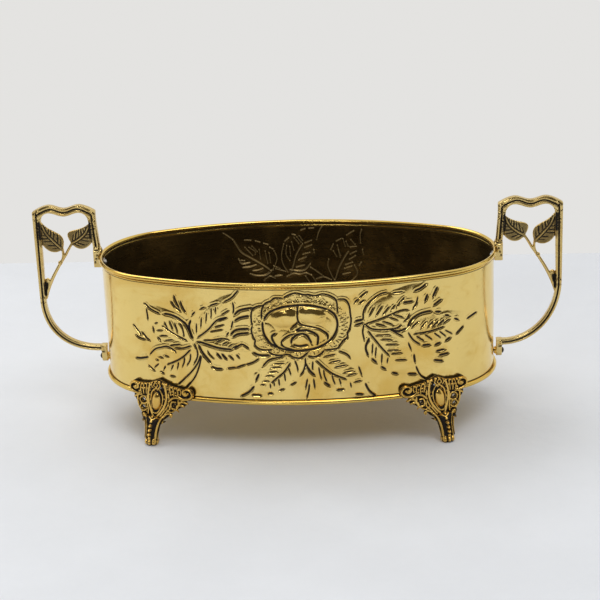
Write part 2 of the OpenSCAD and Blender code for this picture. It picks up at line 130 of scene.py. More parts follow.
class Relief:
    """Height and patina on a regular grid over a flat-laid surface, in millimetres; the patina grid also
    carries painted shade.
    """

    def __init__(self, u0, v0, nu, nv, du, dv, base=0.0, patina_and_painted_light=0.0):
        self.u0, self.v0, self.du, self.dv = u0, v0, du, dv
        self.u = u0 + du * np.arange(nu + 1)
        self.v = v0 + dv * np.arange(nv + 1)
        self.h = np.full((nu + 1, nv + 1), base, float)
        self.p = np.full((nu + 1, nv + 1), patina_and_painted_light, float)

    def window(self, low, high, margin):
        """Slices of the grid that hold a box with a margin round it."""
        i0 = int(max(0, (low[0] - margin - self.u0) / self.du))
        i1 = int(min(len(self.u), (high[0] + margin - self.u0) / self.du + 2))
        j0 = int(max(0, (low[1] - margin - self.v0) / self.dv))
        j1 = int(min(len(self.v), (high[1] + margin - self.v0) / self.dv + 2))
        return slice(i0, max(i0, i1)), slice(j0, max(j0, j1))

    def distance(self, points, margin):
        """Window, distance to a curve, how far along it the nearest place is, and its length."""
        c = smooth(points)
        win = self.window(c.min(0), c.max(0), margin)
        gu, gv = np.meshgrid(self.u[win[0]], self.v[win[1]], indexing="ij")
        seg = np.diff(c, axis=0)
        length = np.maximum(np.hypot(seg[:, 0], seg[:, 1]), 1e-9)
        start = np.concatenate([[0], np.cumsum(length)])[:-1]
        best = np.full(gu.shape, 1e9)
        along = np.zeros(gu.shape)
        for (a, b), (dx, dy), n, s0 in zip(c[:-1], seg, length, start):
            t = np.clip(((gu - a) * dx + (gv - b) * dy) / n ** 2, 0, 1)
            d = np.hypot(gu - a - t * dx, gv - b - t * dy)
            near = d < best
            best = np.where(near, d, best)
            along = np.where(near, s0 + t * n, along)
        return win, best, along, float(length.sum())

    def groove(self, points, width, depth, dark=1.0, shoulder=0.3, taper=3.2, grow=0.0):
        """A chased line that runs out to nothing at both ends, with metal raised along it."""
        p = np.array(points, float)
        if grow:
            for end, inner in ((0, 1), (-1, -2)):
                p[end] += grow * (p[end] - p[inner]) / np.hypot(*(p[end] - p[inner]))
        win, d, along, total = self.distance(p, 2.6 * width)
        reach = min(taper, 0.42 * total)
        run = ease(np.minimum(along, total - along) / reach, -0.35, 1.0)
        w = width / 2 * (0.45 + 0.55 * run)
        q = d / w
        self.h[win] += run * depth * (shoulder * np.exp(-((q - 1.9) / 0.9) ** 2)
                                      - np.exp(-1.1 * q ** 2))
        stain = 0.26 * dark * run * np.exp(-(q / 2.4) ** 2)
        self.p[win] = np.maximum(self.p[win], np.maximum(stain, dark * run * (1 - ease(q, 0.5, 1.1))))

    def cushion(self, points, half, fall):
        """Rounds the two lips of a flat bar over towards its edges."""
        win, d, _, _ = self.distance(points, half + 1.0)
        drop = -fall * ease(d, half - 1.6, half + 0.2)
        self.h[win] = np.where(d < half + 0.6, np.minimum(self.h[win], drop), self.h[win])

    def ridge(self, points, width, top):
        """A round bar standing up to top."""
        win, d, _, _ = self.distance(points, width)
        q = np.clip(d / (width / 2), 0, 1)
        floor = self.h[win]
        rise = floor + (top - floor) * np.sqrt(1 - q ** 2) ** 0.8
        up = (q < 1) & (rise > floor)
        self.h[win] = np.where(up, rise, floor)
        self.p[win] = np.where(up, self.p[win] * ease(q, 0.35, 1.0), self.p[win])

    def dome(self, centre, size, turn, top, power=1.0, dark=None, add=True):
        """An oval swelling; turn is in degrees."""
        r = max(size)
        win = self.window(np.array(centre) - r, np.array(centre) + r, 0)
        gu, gv = np.meshgrid(self.u[win[0]] - centre[0], self.v[win[1]] - centre[1], indexing="ij")
        c, s = math.cos(math.radians(turn)), math.sin(math.radians(turn))
        q = ((gu * c + gv * s) / size[0]) ** 2 + ((gv * c - gu * s) / size[1]) ** 2
        lift = np.clip(1 - q, 0, 1) ** power
        if add:
            self.h[win] += top * lift
        else:
            self.h[win] = np.where(q < 1, self.h[win] + (top - self.h[win]) * lift, self.h[win])
        if dark is not None:
            self.p[win] = np.where(q < 1, self.p[win] + (dark - self.p[win]) * ease(1 - q, 0, 0.35),
                                   self.p[win])

    def sample(self, u, v):
        """Height and patina, with its painted shade, between grid points."""
        x = np.clip((u - self.u0) / self.du, 0, len(self.u) - 1.001)
        y = np.clip((v - self.v0) / self.dv, 0, len(self.v) - 1.001)
        i, j = x.astype(int), y.astype(int)
        fx, fy = x - i, y - j
        out = []
        for g in (self.h, self.p):
            low = g[i, j] * (1 - fx) + g[i + 1, j] * fx
            high = g[i, j + 1] * (1 - fx) + g[i + 1, j + 1] * fx
            out.append(low * (1 - fy) + high * fy)
        return out


def blur(a):
    """Light smoothing of a grid."""
    p = np.pad(a, 1, mode="edge")
    return (4 * a + p[:-2, 1:-1] + p[2:, 1:-1] + p[1:-1, :-2] + p[1:-1, 2:]) / 8


# ---- meshes --------------------------------------------------------------------------------
def new_object(name, verts, faces, materials, normals=None, patina_and_painted_light=None, face_mats=None):
    """A mesh object from millimetre points; patina_and_painted_light is a value for each point: patina,
    with painted shade in places.
    """
    mesh = bpy.data.meshes.new(name)
    mesh.from_pydata((np.asarray(verts) * MM).tolist(), [], faces)
    for m in materials:
        mesh.materials.append(m)
    if face_mats is not None:
        mesh.polygons.foreach_set("material_index", np.asarray(face_mats, np.int32))
    mesh.polygons.foreach_set("use_smooth", np.ones(len(mesh.polygons), bool))
    if patina_and_painted_light is not None:
        layer = mesh.attributes.new("patina_and_painted_light", "FLOAT", "POINT")
        layer.data.foreach_set("value", np.asarray(patina_and_painted_light, np.float32))
    mesh.update()
    if normals is not None:
        mesh.normals_split_custom_set_from_vertices(np.asarray(normals).tolist())
    obj = bpy.data.objects.new(name, mesh)
    bpy.context.scene.collection.objects.link(obj)
    return obj


def add_piece(obj, slot, *nodes):
    """Parents a finished piece to the root empty and hides the CAD nodes it replaces."""
    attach(obj, "root")
    if nodes:
        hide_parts(*nodes)
    return obj


def cell_sizes(height, patina_and_painted_light, tol, dark_tol, smallest):
    """For each size of square cell, which ones are flat enough to stay whole."""
    flat = {}
    k = LARGEST_CELL
    while k > smallest:
        worst = None
        for grid, limit in ((height, tol), (patina_and_painted_light, dark_tol)):
            c00 = grid[:-1:k, :-1:k]
            c10 = grid[k::k, :-1:k]
            c01 = grid[:-1:k, k::k]
            c11 = grid[k::k, k::k]
            for a in range(k + 1):
                for b in range(k + 1):
                    fa, fb = a / k, b / k
                    want = ((c00 * (1 - fa) + c10 * fa) * (1 - fb)
                            + (c01 * (1 - fa) + c11 * fa) * fb)
                    got = grid[a:grid.shape[0] - k + a:k, b:grid.shape[1] - k + b:k]
                    err = np.abs(got - want) / limit
                    worst = err if worst is None else np.maximum(worst, err)
        flat[k] = worst < 1
        k //= 2
    return flat


def split_cells(flat, nu, nv, smallest):
    """List of (i, j, size) cells, large where the surface is flat."""
    cells = []
    todo = [(i, j, LARGEST_CELL) for i in range(0, nu, LARGEST_CELL) for j in range(0, nv, LARGEST_CELL)]
    while todo:
        i, j, k = todo.pop()
        if k <= smallest or flat[k][i // k, j // k]:
            cells.append((i, j, k))
            continue
        h = k // 2
        todo += [(i, j, h), (i + h, j, h), (i, j + h, h), (i + h, j + h, h)]
    return cells


def cell_polygons(cells, nu, nv):
    """Polygons over the grid that share every corner with their smaller neighbours."""
    used = np.zeros((nu + 1, nv + 1), bool)
    arr = np.array(cells)
    for da, db in ((0, 0), (1, 0), (1, 1), (0, 1)):
        used[arr[:, 0] + da * arr[:, 2], arr[:, 1] + db * arr[:, 2]] = True
    index = -np.ones((nu + 1, nv + 1), int)
    index[used] = np.arange(int(used.sum()))
    polys = []
    for i, j, k in cells:
        if k == 1:
            polys.append([index[i, j], index[i + 1, j], index[i + 1, j + 1], index[i, j + 1]])
            continue
        ring = [index[i + a, j] for a in range(k)] + [index[i + k, j + b] for b in range(k)]
        ring += [index[i + k - a, j + k] for a in range(k)] + [index[i, j + k - b] for b in range(k)]
        polys.append([q for q in ring if q >= 0])
    return used, index, polys


def border_loop(used, index, nu, nv):
    """Used grid points round the edge, in order."""
    path = [(a, 0) for a in range(nu)] + [(nu, b) for b in range(nv)]
    path += [(nu - a, nv) for a in range(nu)] + [(0, nv - b) for b in range(nv)]
    return [(p, int(index[p])) for p in path if used[p]]


def sheet_surface(relief, off, flip, tol, smallest):
    """One face of the sheet: points, normals, patina with painted shade, and polygons."""
    nu, nv = len(relief.u) - 1, len(relief.v) - 1
    flat = cell_sizes(relief.h, relief.p, tol, 0.12, smallest)
    cells = split_cells(flat, nu, nv, smallest)
    used, index, polys = cell_polygons(cells, nu, nv)
    x, y, nx, ny = wall_frame(relief.u)
    hu = np.gradient(relief.h, relief.du, axis=0)
    hv = np.gradient(relief.h, relief.dv, axis=1)
    i, j = np.nonzero(used)
    h = relief.h[i, j] + off
    pts = np.stack([x[i] + nx[i] * h, y[i] + ny[i] * h, relief.v[j]], 1)
    nrm = np.stack([nx[i] + ny[i] * hu[i, j], ny[i] - nx[i] * hu[i, j], -hv[i, j]], 1)
    nrm /= np.linalg.norm(nrm, axis=1)[:, None]
    order = np.empty(int(used.sum()), int)
    order[index[i, j]] = np.arange(len(i))
    pts, nrm, pat = pts[order], nrm[order], relief.p[i, j][order]
    if flip:
        nrm = -nrm
        polys = [q[::-1] for q in polys]
    return pts, nrm, pat, polys, border_loop(used, index, nu, nv)


def swept(profile, x, y, nx, ny, closed, patina_and_painted_light):
    """Tube with a closed cut, run along the wall; the cut is (offset, height) points."""
    prof = np.array(profile, float)
    n, m = len(x), len(prof)
    px = x[:, None] + nx[:, None] * prof[None, :, 0]
    py = y[:, None] + ny[:, None] * prof[None, :, 0]
    pz = np.broadcast_to(prof[None, :, 1], px.shape)
    pts = np.stack([px, py, pz], -1).reshape(-1, 3)
    faces = []
    for i in range(n if closed else n - 1):
        k = (i + 1) % n
        for j in range(m):
            q = (j + 1) % m
            faces.append([i * m + j, k * m + j, k * m + q, i * m + q])
    if not closed:
        faces.append(list(range(m)))
        faces.append([(n - 1) * m + j for j in range(m)][::-1])
    d = np.roll(prof, -1, 0) - np.roll(prof, 1, 0)
    pn = np.stack([d[:, 1], -d[:, 0]], 1)
    pn /= np.linalg.norm(pn, axis=1)[:, None]
    nrm = np.stack([nx[:, None] * pn[None, :, 0], ny[:, None] * pn[None, :, 0],
                    np.broadcast_to(pn[None, :, 1], px.shape)], -1).reshape(-1, 3)
    pat = np.tile(np.asarray(patina_and_painted_light, float), n)
    return pts, nrm, pat, faces


def ring_cut(cx, cz, r, n):
    """Round cut, clockwise seen along the sweep so that its faces look out."""
    a = np.arange(n) * 2 * math.pi / n
    return np.stack([cx + r * np.cos(a), cz + r * np.sin(a)], 1)


# ---- materials -----------------------------------------------------------------------------
def node(tree, kind, inputs=None, **props):
    """A new shader node; an input is a value or a socket to link from."""
    n = tree.nodes.new(kind)
    for key, value in props.items():
        setattr(n, key, value)
    for key, value in (inputs or {}).items():
        if isinstance(value, bpy.types.NodeSocket):
            tree.links.new(value, n.inputs[key])
        else:
            n.inputs[key].default_value = value
    return n


def maths(tree, op, a, b, clamp=False):
    return node(tree, "ShaderNodeMath", {0: a, 1: b}, operation=op, use_clamp=clamp).outputs[0]


def mix_colour(tree, factor, a, b):
    return node(tree, "ShaderNodeMix", {0: factor, 6: a, 7: b}, data_type="RGBA").outputs[2]


def spread(tree, value, low, high, to_low=0.0, to_high=1.0):
    """Smooth step from to_low at low to to_high at high."""
    n = node(tree, "ShaderNodeMapRange", {0: value, 1: low, 2: high, 3: to_low, 4: to_high},
             interpolation_type="SMOOTHSTEP")
    return n.outputs[0]


def noise(tree, coords, scale, detail=4.0, rough=0.55, warp=0.0):
    n = node(tree, "ShaderNodeTexNoise", {"Vector": coords, "Scale": scale, "Detail": detail,
                                          "Roughness": rough, "Distortion": warp})
    return n.outputs[0]


def metal(name, pale, warm, dark, rough, stain=0.35, patina_gain=1.0, bump=0.02, use_patina=True,
          metallic=1.0, grain=420.0, dirt=0.12, low=0.12, high=0.8, ragged=0.3):
    """Brass or steel with stains, tarnish in the recesses, worn high places and fine scratches; the patina
    colour also paints shade into crevices, and where it is lighter than the metal, as inside the pot, it
    paints highlights on raised lines.
    """
    mat = bpy.data.materials.new(name)
    mat.use_nodes = True
    tree = mat.node_tree
    bsdf = tree.nodes["Principled BSDF"]
    at = node(tree, "ShaderNodeTexCoord").outputs["Object"]
    stretched = node(tree, "ShaderNodeMapping", {"Vector": at, "Scale": (1.0, 1.0, 9.0)}).outputs[0]
    cloud = spread(tree, noise(tree, at, 15.0, 5.0, 0.6, 0.6), 0.44, 0.70)
    blots = spread(tree, noise(tree, at, 52.0, 6.0, 0.62, 0.8), 0.52, 0.72)
    specks = spread(tree, noise(tree, at, grain, 3.0, 0.6), 0.62, 0.78)
    colour = mix_colour(tree, maths(tree, "MULTIPLY", cloud, stain), pale, warm)
    colour = mix_colour(tree, maths(tree, "MULTIPLY", blots, 0.6 * stain), colour, warm)
    colour = mix_colour(tree, maths(tree, "MULTIPLY", specks, dirt), colour, dark)
    edge = noise(tree, at, 900.0, 2.0, 0.5)
    if use_patina:
        # patina mask: tarnish in the hollows, plus painted shade along crevices and, with a lighter patina
        # colour, painted highlights
        raw = node(tree, "ShaderNodeAttribute", attribute_name="patina_and_painted_light").outputs["Fac"]
        jitter = maths(tree, "MULTIPLY", maths(tree, "SUBTRACT", edge, 0.5), ragged)
        held = maths(tree, "MULTIPLY", maths(tree, "ADD", raw, jitter, True), patina_gain, True)
        held = spread(tree, held, low, high)
        colour = mix_colour(tree, held, colour, dark)
        tree.links.new(maths(tree, "SUBTRACT", metallic, maths(tree, "MULTIPLY", held, 0.55)),
                       bsdf.inputs["Metallic"])
        extra = maths(tree, "MULTIPLY", held, 0.4)
    else:
        bsdf.inputs["Metallic"].default_value = metallic
        extra = maths(tree, "MULTIPLY", specks, 0.1)
    tree.links.new(colour, bsdf.inputs["Base Color"])
    smear = spread(tree, noise(tree, stretched, 60.0, 5.0, 0.6), 0.3, 0.75, rough - 0.05, rough + 0.09)
    tree.links.new(maths(tree, "ADD", smear, extra, True), bsdf.inputs["Roughness"])
    rub = noise(tree, stretched, 1500.0, 3.0, 0.6)
    dents = noise(tree, at, 70.0, 2.0, 0.5)
    first = node(tree, "ShaderNodeBump", {"Height": dents, "Strength": bump * 2, "Distance": 0.0016})
    last = node(tree, "ShaderNodeBump", {"Height": rub, "Strength": bump * 3, "Distance": 0.0002,
                                         "Normal": first.outputs[0]})
    tree.links.new(last.outputs[0], bsdf.inputs["Normal"])
    return mat


WALL = metal("wall_brass", (0.885, 0.66, 0.225, 1), (0.72, 0.44, 0.08, 1), (0.020, 0.011, 0.004, 1),
             0.12, stain=0.75, bump=0.03)
RIM = metal("rim_brass", (0.80, 0.56, 0.14, 1), (0.72, 0.42, 0.08, 1), (0.045, 0.024, 0.008, 1),
            0.13, stain=0.6)
# inside: dark tarnished brass; its patina colour is lighter than the base, so the raised backs of the
# chased lines get a painted highlight
INSIDE = metal("inside_tarnish_painted_ridge_highlight", (0.105, 0.070, 0.026, 1), (0.27, 0.18, 0.062, 1),
               (0.30, 0.215, 0.085, 1), 0.30, stain=1.0, patina_gain=0.8, metallic=0.85, dirt=0.0, bump=0.06,
               low=0.3, high=0.95)
CAST = metal("cast_brass", (0.74, 0.55, 0.215, 1), (0.56, 0.35, 0.09, 1), (0.014, 0.009, 0.004, 1),
             0.22, stain=0.7, bump=0.02, grain=700.0, dirt=0.25, ragged=0.12)
FOOT = metal("foot_brass", (0.80, 0.515, 0.13, 1), (0.56, 0.33, 0.06, 1), (0.012, 0.007, 0.003, 1),
             0.19, stain=0.8, bump=0.02, grain=800.0, dirt=0.15, ragged=0.12, low=0.05, high=0.75)
STEEL = metal("screw_steel", (0.55, 0.53, 0.50, 1), (0.36, 0.30, 0.24, 1), (0.05, 0.04, 0.03, 1),
              0.34, use_patina=False, dirt=0.35)
BLACK = metal("dark_screw", (0.045, 0.036, 0.026, 1), (0.09, 0.055, 0.025, 1), (0.01, 0.008, 0.006, 1),
              0.42, use_patina=False, metallic=0.8, dirt=0.4)
# Strokes of the chased drawing on the front: width class, then the points it runs through.
FRONT = [
    # three-leaf spray on the left: far leaf
    (LINE, (-141.7, 139.6), (-135.7, 134.3), (-125.7, 130.7)),
    (BOLD, (-122.1, 131.1), (-115.7, 130.7), (-109.3, 128.6), (-103.6, 125), (-99.3, 120.7), (-95, 108.6)),
    (LINE, (-140, 134.3), (-138.9, 122.9)),
    (LINE, (-131.9, 120.3), (-128.6, 121.4)),
    (LINE, (-134.6, 117.4), (-133.3, 111.1)),
    (FINE, (-130.3, 113.6), (-123.6, 114.3)),
    (FINE, (-127.6, 108.6), (-119.6, 109.3)),
    (LINE, (-130, 107.1), (-127.1, 103.6)),
    (FINE, (-122.6, 104.3), (-113.9, 106)),
    (LINE, (-124.3, 119.3), (-117.9, 115), (-110, 110.7), (-100, 106.4)),
    (FINE, (-121.7, 123.6), (-118.6, 116.4)),
    (FINE, (-116.4, 125), (-113.3, 116.4)),
    (FINE, (-111.4, 123.6), (-108.6, 113.6)),
    (FINE, (-107.1, 123.6), (-104.3, 120), (-102.6, 110)),
    (LINE, (-117.9, 100), (-106.4, 102.4)),
    (LINE, (-112.9, 98.6), (-105, 98.6), (-96.4, 101.7)),
    # upper leaf
    (BOLD, (-95.3, 127.1), (-97.4, 121.4), (-96.4, 114.3), (-94.3, 108.3)),
    (LINE, (-94.3, 131.4), (-90.7, 135.7)),
    (LINE, (-85.7, 138.6), (-80.7, 141)),
    (LINE, (-76.4, 142.4), (-67.9, 145.7)),
    (LINE, (-48.6, 158.6), (-55, 151.4), (-62.4, 147.1)),
    (LINE, (-54.3, 147.1), (-53.6, 140.7), (-54.7, 135.7)),
    (LINE, (-90, 110), (-79.3, 118.6), (-69.3, 129.3), (-60, 132.1)),
    (FINE, (-90, 124.3), (-90.4, 115)),
    (FINE, (-84.7, 130.7), (-85.7, 120.7)),
    (FINE, (-79.3, 135.7), (-80.4, 126.4)),
    (FINE, (-74.7, 140.7), (-75, 131.4)),
    (FINE, (-70.7, 142.1), (-70.4, 136.4)),
    (FINE, (-57.9, 139.3), (-65.7, 134.3)),
    (FINE, (-60, 131.7), (-68.6, 128.3)),
    (FINE, (-63.3, 125), (-72.9, 122.1)),
    (FINE, (-65, 120), (-77.1, 117.4)),
    (LINE, (-55, 128.6), (-56.9, 121.4)),
    (LINE, (-59.6, 117.4), (-61.9, 113.6)),
    # strokes joining the rose
    (BOLD, (-53.6, 134.3), (-47.9, 139.3), (-35.7, 142.1)),
    (BOLD, (-53.6, 128.6), (-47.9, 132.1), (-39.3, 134)),
    (BOLD, (-57.9, 115), (-52.1, 120), (-40, 121.4)),
    (BOLD, (-56.1, 112.4), (-50.7, 116), (-40.4, 117.4)),
    # loose ticks
    (LINE, (-111, 150.4), (-108.6, 142.9), (-105.7, 137.1)),
    (LINE, (-114, 144.3), (-110, 138.6), (-104.3, 134.6)),
    (LINE, (-104.7, 145.4), (-102.9, 139.3), (-99.6, 133.6)),
    (LINE, (-155.7, 116.4), (-151.4, 111.4), (-147.1, 106.4)),
    (LINE, (-153.9, 106.4), (-149.3, 103.6), (-142.1, 102.6)),
    (LINE, (-146.4, 110.3), (-142.1, 105), (-137.9, 102.1)),
    # lower left leaf
    (LINE, (-139.3, 88.3), (-133.6, 94.3), (-127.1, 97.1), (-119.3, 98.6), (-111.4, 94)),
    (BOLD, (-155.7, 82.6), (-149.3, 83.1), (-141, 85.7)),
    (LINE, (-122.1, 80.3), (-113.6, 84.3), (-105, 90), (-97.1, 97.9)),
    (FINE, (-124.3, 90), (-119, 88.6)),
    (FINE, (-130, 87.9), (-125, 86.9)),
    (FINE, (-133.3, 84.6), (-130.3, 83.9)),
    (FINE, (-135.7, 75.4), (-130.3, 80.3)),
    (FINE, (-126.4, 74), (-123.6, 78.6)),
    (FINE, (-118.6, 75), (-115.4, 81.1)),
    (FINE, (-112.1, 76.4), (-110, 84.3)),
    (FINE, (-107.1, 79), (-104.7, 84.3), (-103.6, 90)),
    (FINE, (-102.1, 81.1), (-98.6, 87.1), (-97.6, 93.6)),
    (LINE, (-142.1, 77.4), (-138.6, 74), (-135, 72.1)),
    (LINE, (-129.7, 72.4), (-125.7, 70.4)),
    (LINE, (-120, 69.3), (-114.3, 68.9)),
    # stems
    (LINE, (-93.6, 104.3), (-91, 97.1), (-91.4, 90), (-95, 83.6)),
    (LINE, (-87.9, 92.9), (-90.7, 85.7), (-96.4, 77.1), (-103.6, 69.3), (-112.1, 60.7)),
    (LINE, (-87.1, 92.1), (-90, 81.4), (-95, 70), (-104.3, 57.9)),
    # leaf towards the rose
    (BOLD, (-91.4, 105.7), (-85, 105.4), (-76.4, 103.1), (-67.9, 101.4), (-57.1, 100.7)),
    (LINE, (-84.3, 108.3), (-76.4, 108.6), (-66.4, 110.7), (-59.3, 110)),
    (LINE, (-55, 101.4), (-48.6, 105.7), (-44.3, 104.3), (-41, 101.4)),
    (FINE, (-72.1, 107.1), (-66.4, 109.3)),
    (FINE, (-66.4, 105), (-60.7, 108.3)),
    (FINE, (-60.7, 103.3), (-55.7, 106.4)),
    (FINE, (-57.1, 101.7), (-52.1, 105)),
    (FINE, (-80.7, 98.6), (-78.6, 94.3), (-74.3, 90)),
    (BOLD, (-72.1, 96.9), (-67.1, 90.7)),
    (BOLD, (-67.1, 96.4), (-61.9, 90)),
    (LINE, (-60, 95.4), (-55.7, 90.3)),
    (FINE, (-53.1, 96.4), (-50, 92.1)),
    (BOLD, (-89.3, 103.6), (-85, 94.3), (-77.9, 85.7)),
    (BOLD, (-77.9, 82.6), (-73.6, 80.7), (-67.1, 80.7)),
    (LINE, (-62.9, 81.4), (-54.3, 83.1)),
    (LINE, (-54.3, 82.6), (-45, 86.4)),
    (LINE, (-45, 86), (-37.9, 88.6), (-32.1, 92.6)),
    # rose bowl
    (BOLD, (-27.6, 128.6), (-27.6, 121.4), (-25.7, 114.3), (-20.7, 107.1), (-10.7, 102.1), (0, 100.3),
     (12.1, 100.7), (23.6, 103.6), (33.6, 110), (38.6, 117.1), (40.4, 125.7), (37.9, 134.3), (32.1, 139.3)),
    (BOLD, (-26.4, 130.7), (-20.7, 137.9), (-10.7, 142.1), (-0.7, 143.9), (9.3, 144.3), (20.7, 142.9),
     (32.1, 139.3)),
    (LINE, (5, 143.6), (4.3, 135.7), (5, 129.3), (7.9, 125.7), (15, 123.6), (23.6, 121.4), (29.3, 117.1),
     (31.4, 112.9)),
    (LINE, (-2.9, 121.4), (2.1, 125.7), (5, 128.6)),
    (FINE, (2.1, 120), (7.9, 123.6)),
    (BOLD, (-15.7, 117.9), (-19.3, 115), (-18.6, 110), (-15, 103.6)),
    (LINE, (2.1, 117.1), (-5, 115), (-10, 110.7), (-11, 107.1), (-7.9, 103.6), (-0.7, 101.4)),
    (BOLD, (2.1, 120), (12.1, 120), (19.3, 117.1), (22.4, 112.9), (21.4, 105)),
    (BOLD, (-2.1, 107.1), (-1.4, 111.4), (2.9, 115.7), (8.6, 116.9), (12.9, 114.3), (16.4, 107.1)),
    (BOLD, (-0.7, 106.4), (5, 104.6), (12.9, 106.1)),
    (LINE, (29.3, 117.9), (31.4, 114.3), (30.7, 110)),
    # scalloped outer edge of the rose
    (LINE, (-26.4, 144.3), (-32.9, 142.9), (-37.1, 138.6), (-37.9, 130), (-37.1, 124.3)),
    (LINE, (-37.1, 124.3), (-38.3, 120), (-37.1, 114.3), (-35.3, 110), (-35.7, 105.7), (-32.1, 102.1),
     (-26.4, 100.7), (-19.3, 101.4)),
    (LINE, (-28.1, 131.4), (-28.1, 138.6), (-25, 145.7), (-19.3, 148.6), (-15.7, 151.4), (-7.9, 151.1)),
    (LINE, (-7.9, 151.1), (-2.9, 154.3), (3.6, 156), (10.7, 154.3), (15, 154.3), (20.7, 152.9),
     (27.9, 154.3), (35, 152.1), (40, 147.1), (40.7, 135.7)),
    (LINE, (40.7, 148.6), (47.9, 147.9), (51.4, 142.1), (52.4, 132.9), (52.9, 127.1), (51.4, 120),
     (49.3, 115.7), (49, 111.4), (45, 107.9), (42.1, 104.3), (38.6, 100.7), (27.9, 100)),
    (LINE, (27.9, 100), (23.6, 95.7), (17.9, 93.6), (12.1, 95)),
    (LINE, (-23.6, 100), (-19.3, 96.4), (-12.1, 95.7), (-5, 96.4), (-0.7, 93.6), (5, 92.6), (10, 95.7),
     (12.9, 98.9)),
    (BOLD, (-37.9, 98.6), (-32.1, 95.7), (-22.1, 95.7)),
    # leaf below the rose on the left
    (LINE, (-29.3, 84.7), (-23.6, 90.7), (-16.4, 93.1), (-10, 94.3)),
    (LINE, (-3.6, 88.6), (-9.3, 80), (-15.7, 74.3), (-22.1, 68.6)),
    (FINE, (-19, 87.4), (-9.3, 87.9)),
    (FINE, (-21.4, 83.9), (-12.4, 84.3)),
    (FINE, (-23.6, 79.6), (-15.7, 80)),
    (FINE, (-26.7, 75.7), (-19.3, 75.7)),
    (FINE, (-29.6, 70.4), (-23.6, 70.7)),
    (FINE, (-31.9, 66.9), (-27.1, 66.4)),
    (FINE, (-5.7, 84.3), (-3.6, 75.7)),
    (FINE, (-9.6, 78.6), (-8.9, 70)),
    (FINE, (-15, 72.9), (-14.7, 65.4)),
    (FINE, (-19.6, 70), (-19.3, 65)),
    (FINE, (-23.1, 67.9), (-22.9, 63.1)),
    (BOLD, (-32.9, 77.4), (-36.4, 70)),
    (BOLD, (-37.9, 65), (-43.6, 58.6), (-51.4, 54.3)),
    (BOLD, (-41, 56.1), (-31.4, 55.7)),
    (BOLD, (-25.7, 57.9), (-20.7, 57.6)),
    (LINE, (-15.4, 60.7), (-10, 62.6)),
    (LINE, (-4.7, 66), (1, 69.3)),
    (LINE, (0.3, 90.7), (2.4, 84.3), (2.9, 79.7)),
    # sprigs below the middle
    (LINE, (10, 92.9), (10, 87.1), (7.9, 80), (4.6, 75.4)),
    (BOLD, (10.3, 87.1), (12.9, 81.4), (16.4, 77.1), (18.6, 75)),
    (LINE, (16.9, 89.3), (16.1, 80.7)),
    (LINE, (11.4, 72.1), (9.3, 62.1)),
    (LINE, (12.9, 67.1), (12.1, 60), (10, 52.9)),
    (LINE, (16.9, 72.1), (17.9, 62.1)),
    # leaf below the rose on the right
    (LINE, (20, 90.3), (26.4, 83.6), (35, 76.4), (47.1, 70.4)),
    (LINE, (40.7, 98.6), (47.9, 95), (51.4, 90.4)),
    (FINE, (27.1, 93.6), (37.9, 95.4)),
    (FINE, (31.9, 87.6), (42.1, 89)),
    (FINE, (36.7, 82.9), (47.9, 84.3)),
    (FINE, (44.3, 77.1), (53.9, 78.1)),
    (FINE, (47.9, 74), (56.4, 75.4)),
    (FINE, (53.9, 67.1), (61, 68.1)),
    (FINE, (22.1, 83.6), (22.9, 77.1), (24.3, 71.4)),
    (FINE, (26.4, 81.4), (27.1, 74.3), (29.3, 68.6)),
    (FINE, (33.9, 76.4), (35, 70), (36.7, 65.7)),
    (FINE, (40.3, 72.1), (41.9, 65)),
    (FINE, (50.4, 67.1), (51.4, 61.4)),
    (BOLD, (26.4, 68.6), (32.1, 63.6)),
    (BOLD, (37.9, 60.3), (45.3, 60.3)),
    (BOLD, (55, 55), (62.9, 54)),
    (LINE, (58.6, 82.1), (61.4, 72.6)),
    (BOLD, (64.3, 65), (67.9, 57.1), (74.3, 50.7)),
    (LINE, (56.1, 144.3), (60, 147.9)),
    (LINE, (60.7, 148.6), (68.1, 154.6)),
    (LINE, (60.3, 143.3), (65.7, 146.7)),
    # right spray: upper leaf
    (BOLD, (56.1, 126.4), (64.3, 127.6)),
    (BOLD, (56.1, 122.6), (64.3, 124.6)),
    (LINE, (64, 127.1), (64.3, 134.3), (67.1, 140.7), (72.9, 146.4), (80, 150.7), (87.1, 151.9)),
    (LINE, (91.1, 150.7), (101.4, 151)),
    (BOLD, (111.4, 150.3), (117.9, 152.1), (124, 156)),
    (LINE, (65.7, 122.9), (75.7, 125.7), (87.1, 129.3), (98.6, 133.1), (106.4, 132.6)),
    (FINE, (69.3, 130.7), (73.6, 138.9)),
    (FINE, (75.4, 130.3), (81.4, 139.7)),
    (FINE, (81.7, 130.7), (87.9, 138.6)),
    (FINE, (89.3, 134.3), (93.6, 139.7)),
    (FINE, (94.3, 136.4), (98.6, 142.1), (102.9, 146)),
    (BOLD, (100.7, 140.7), (110.7, 140.7)),
    (FINE, (91.1, 130.3), (101.4, 125.7)),
    (FINE, (87.1, 127.9), (96.4, 123.6)),
    (FINE, (81.4, 124.3), (91.4, 120)),
    (LINE, (75, 122.6), (84.3, 119.3)),
    (LINE, (115, 144.6), (113.6, 137.9), (110, 133.1)),
    (LINE, (107.1, 129.3), (105, 124.3), (101.4, 122.1)),
    (BOLD, (124.7, 145.7), (121.7, 138.3)),
    (BOLD, (134.3, 151.4), (129.3, 141.4)),
    (BOLD, (138.3, 138.9), (130, 133.6)),
    # branch and lower leaf
    (LINE, (65.4, 122.9), (71.4, 117.9), (82.9, 115.7), (95.7, 116.4), (98.9, 119.7)),
    (BOLD, (88.6, 115), (97.1, 112.9), (104.3, 115)),
    (LINE, (90, 114.3), (100.7, 107.1)),
    (LINE, (65, 123.6), (63.3, 115.7), (64.6, 107.1)),
    (LINE, (67.9, 116.4), (74.3, 107.1), (81.4, 97.1), (87.4, 90)),
    (FINE, (75, 111.4), (88.6, 110.3)),
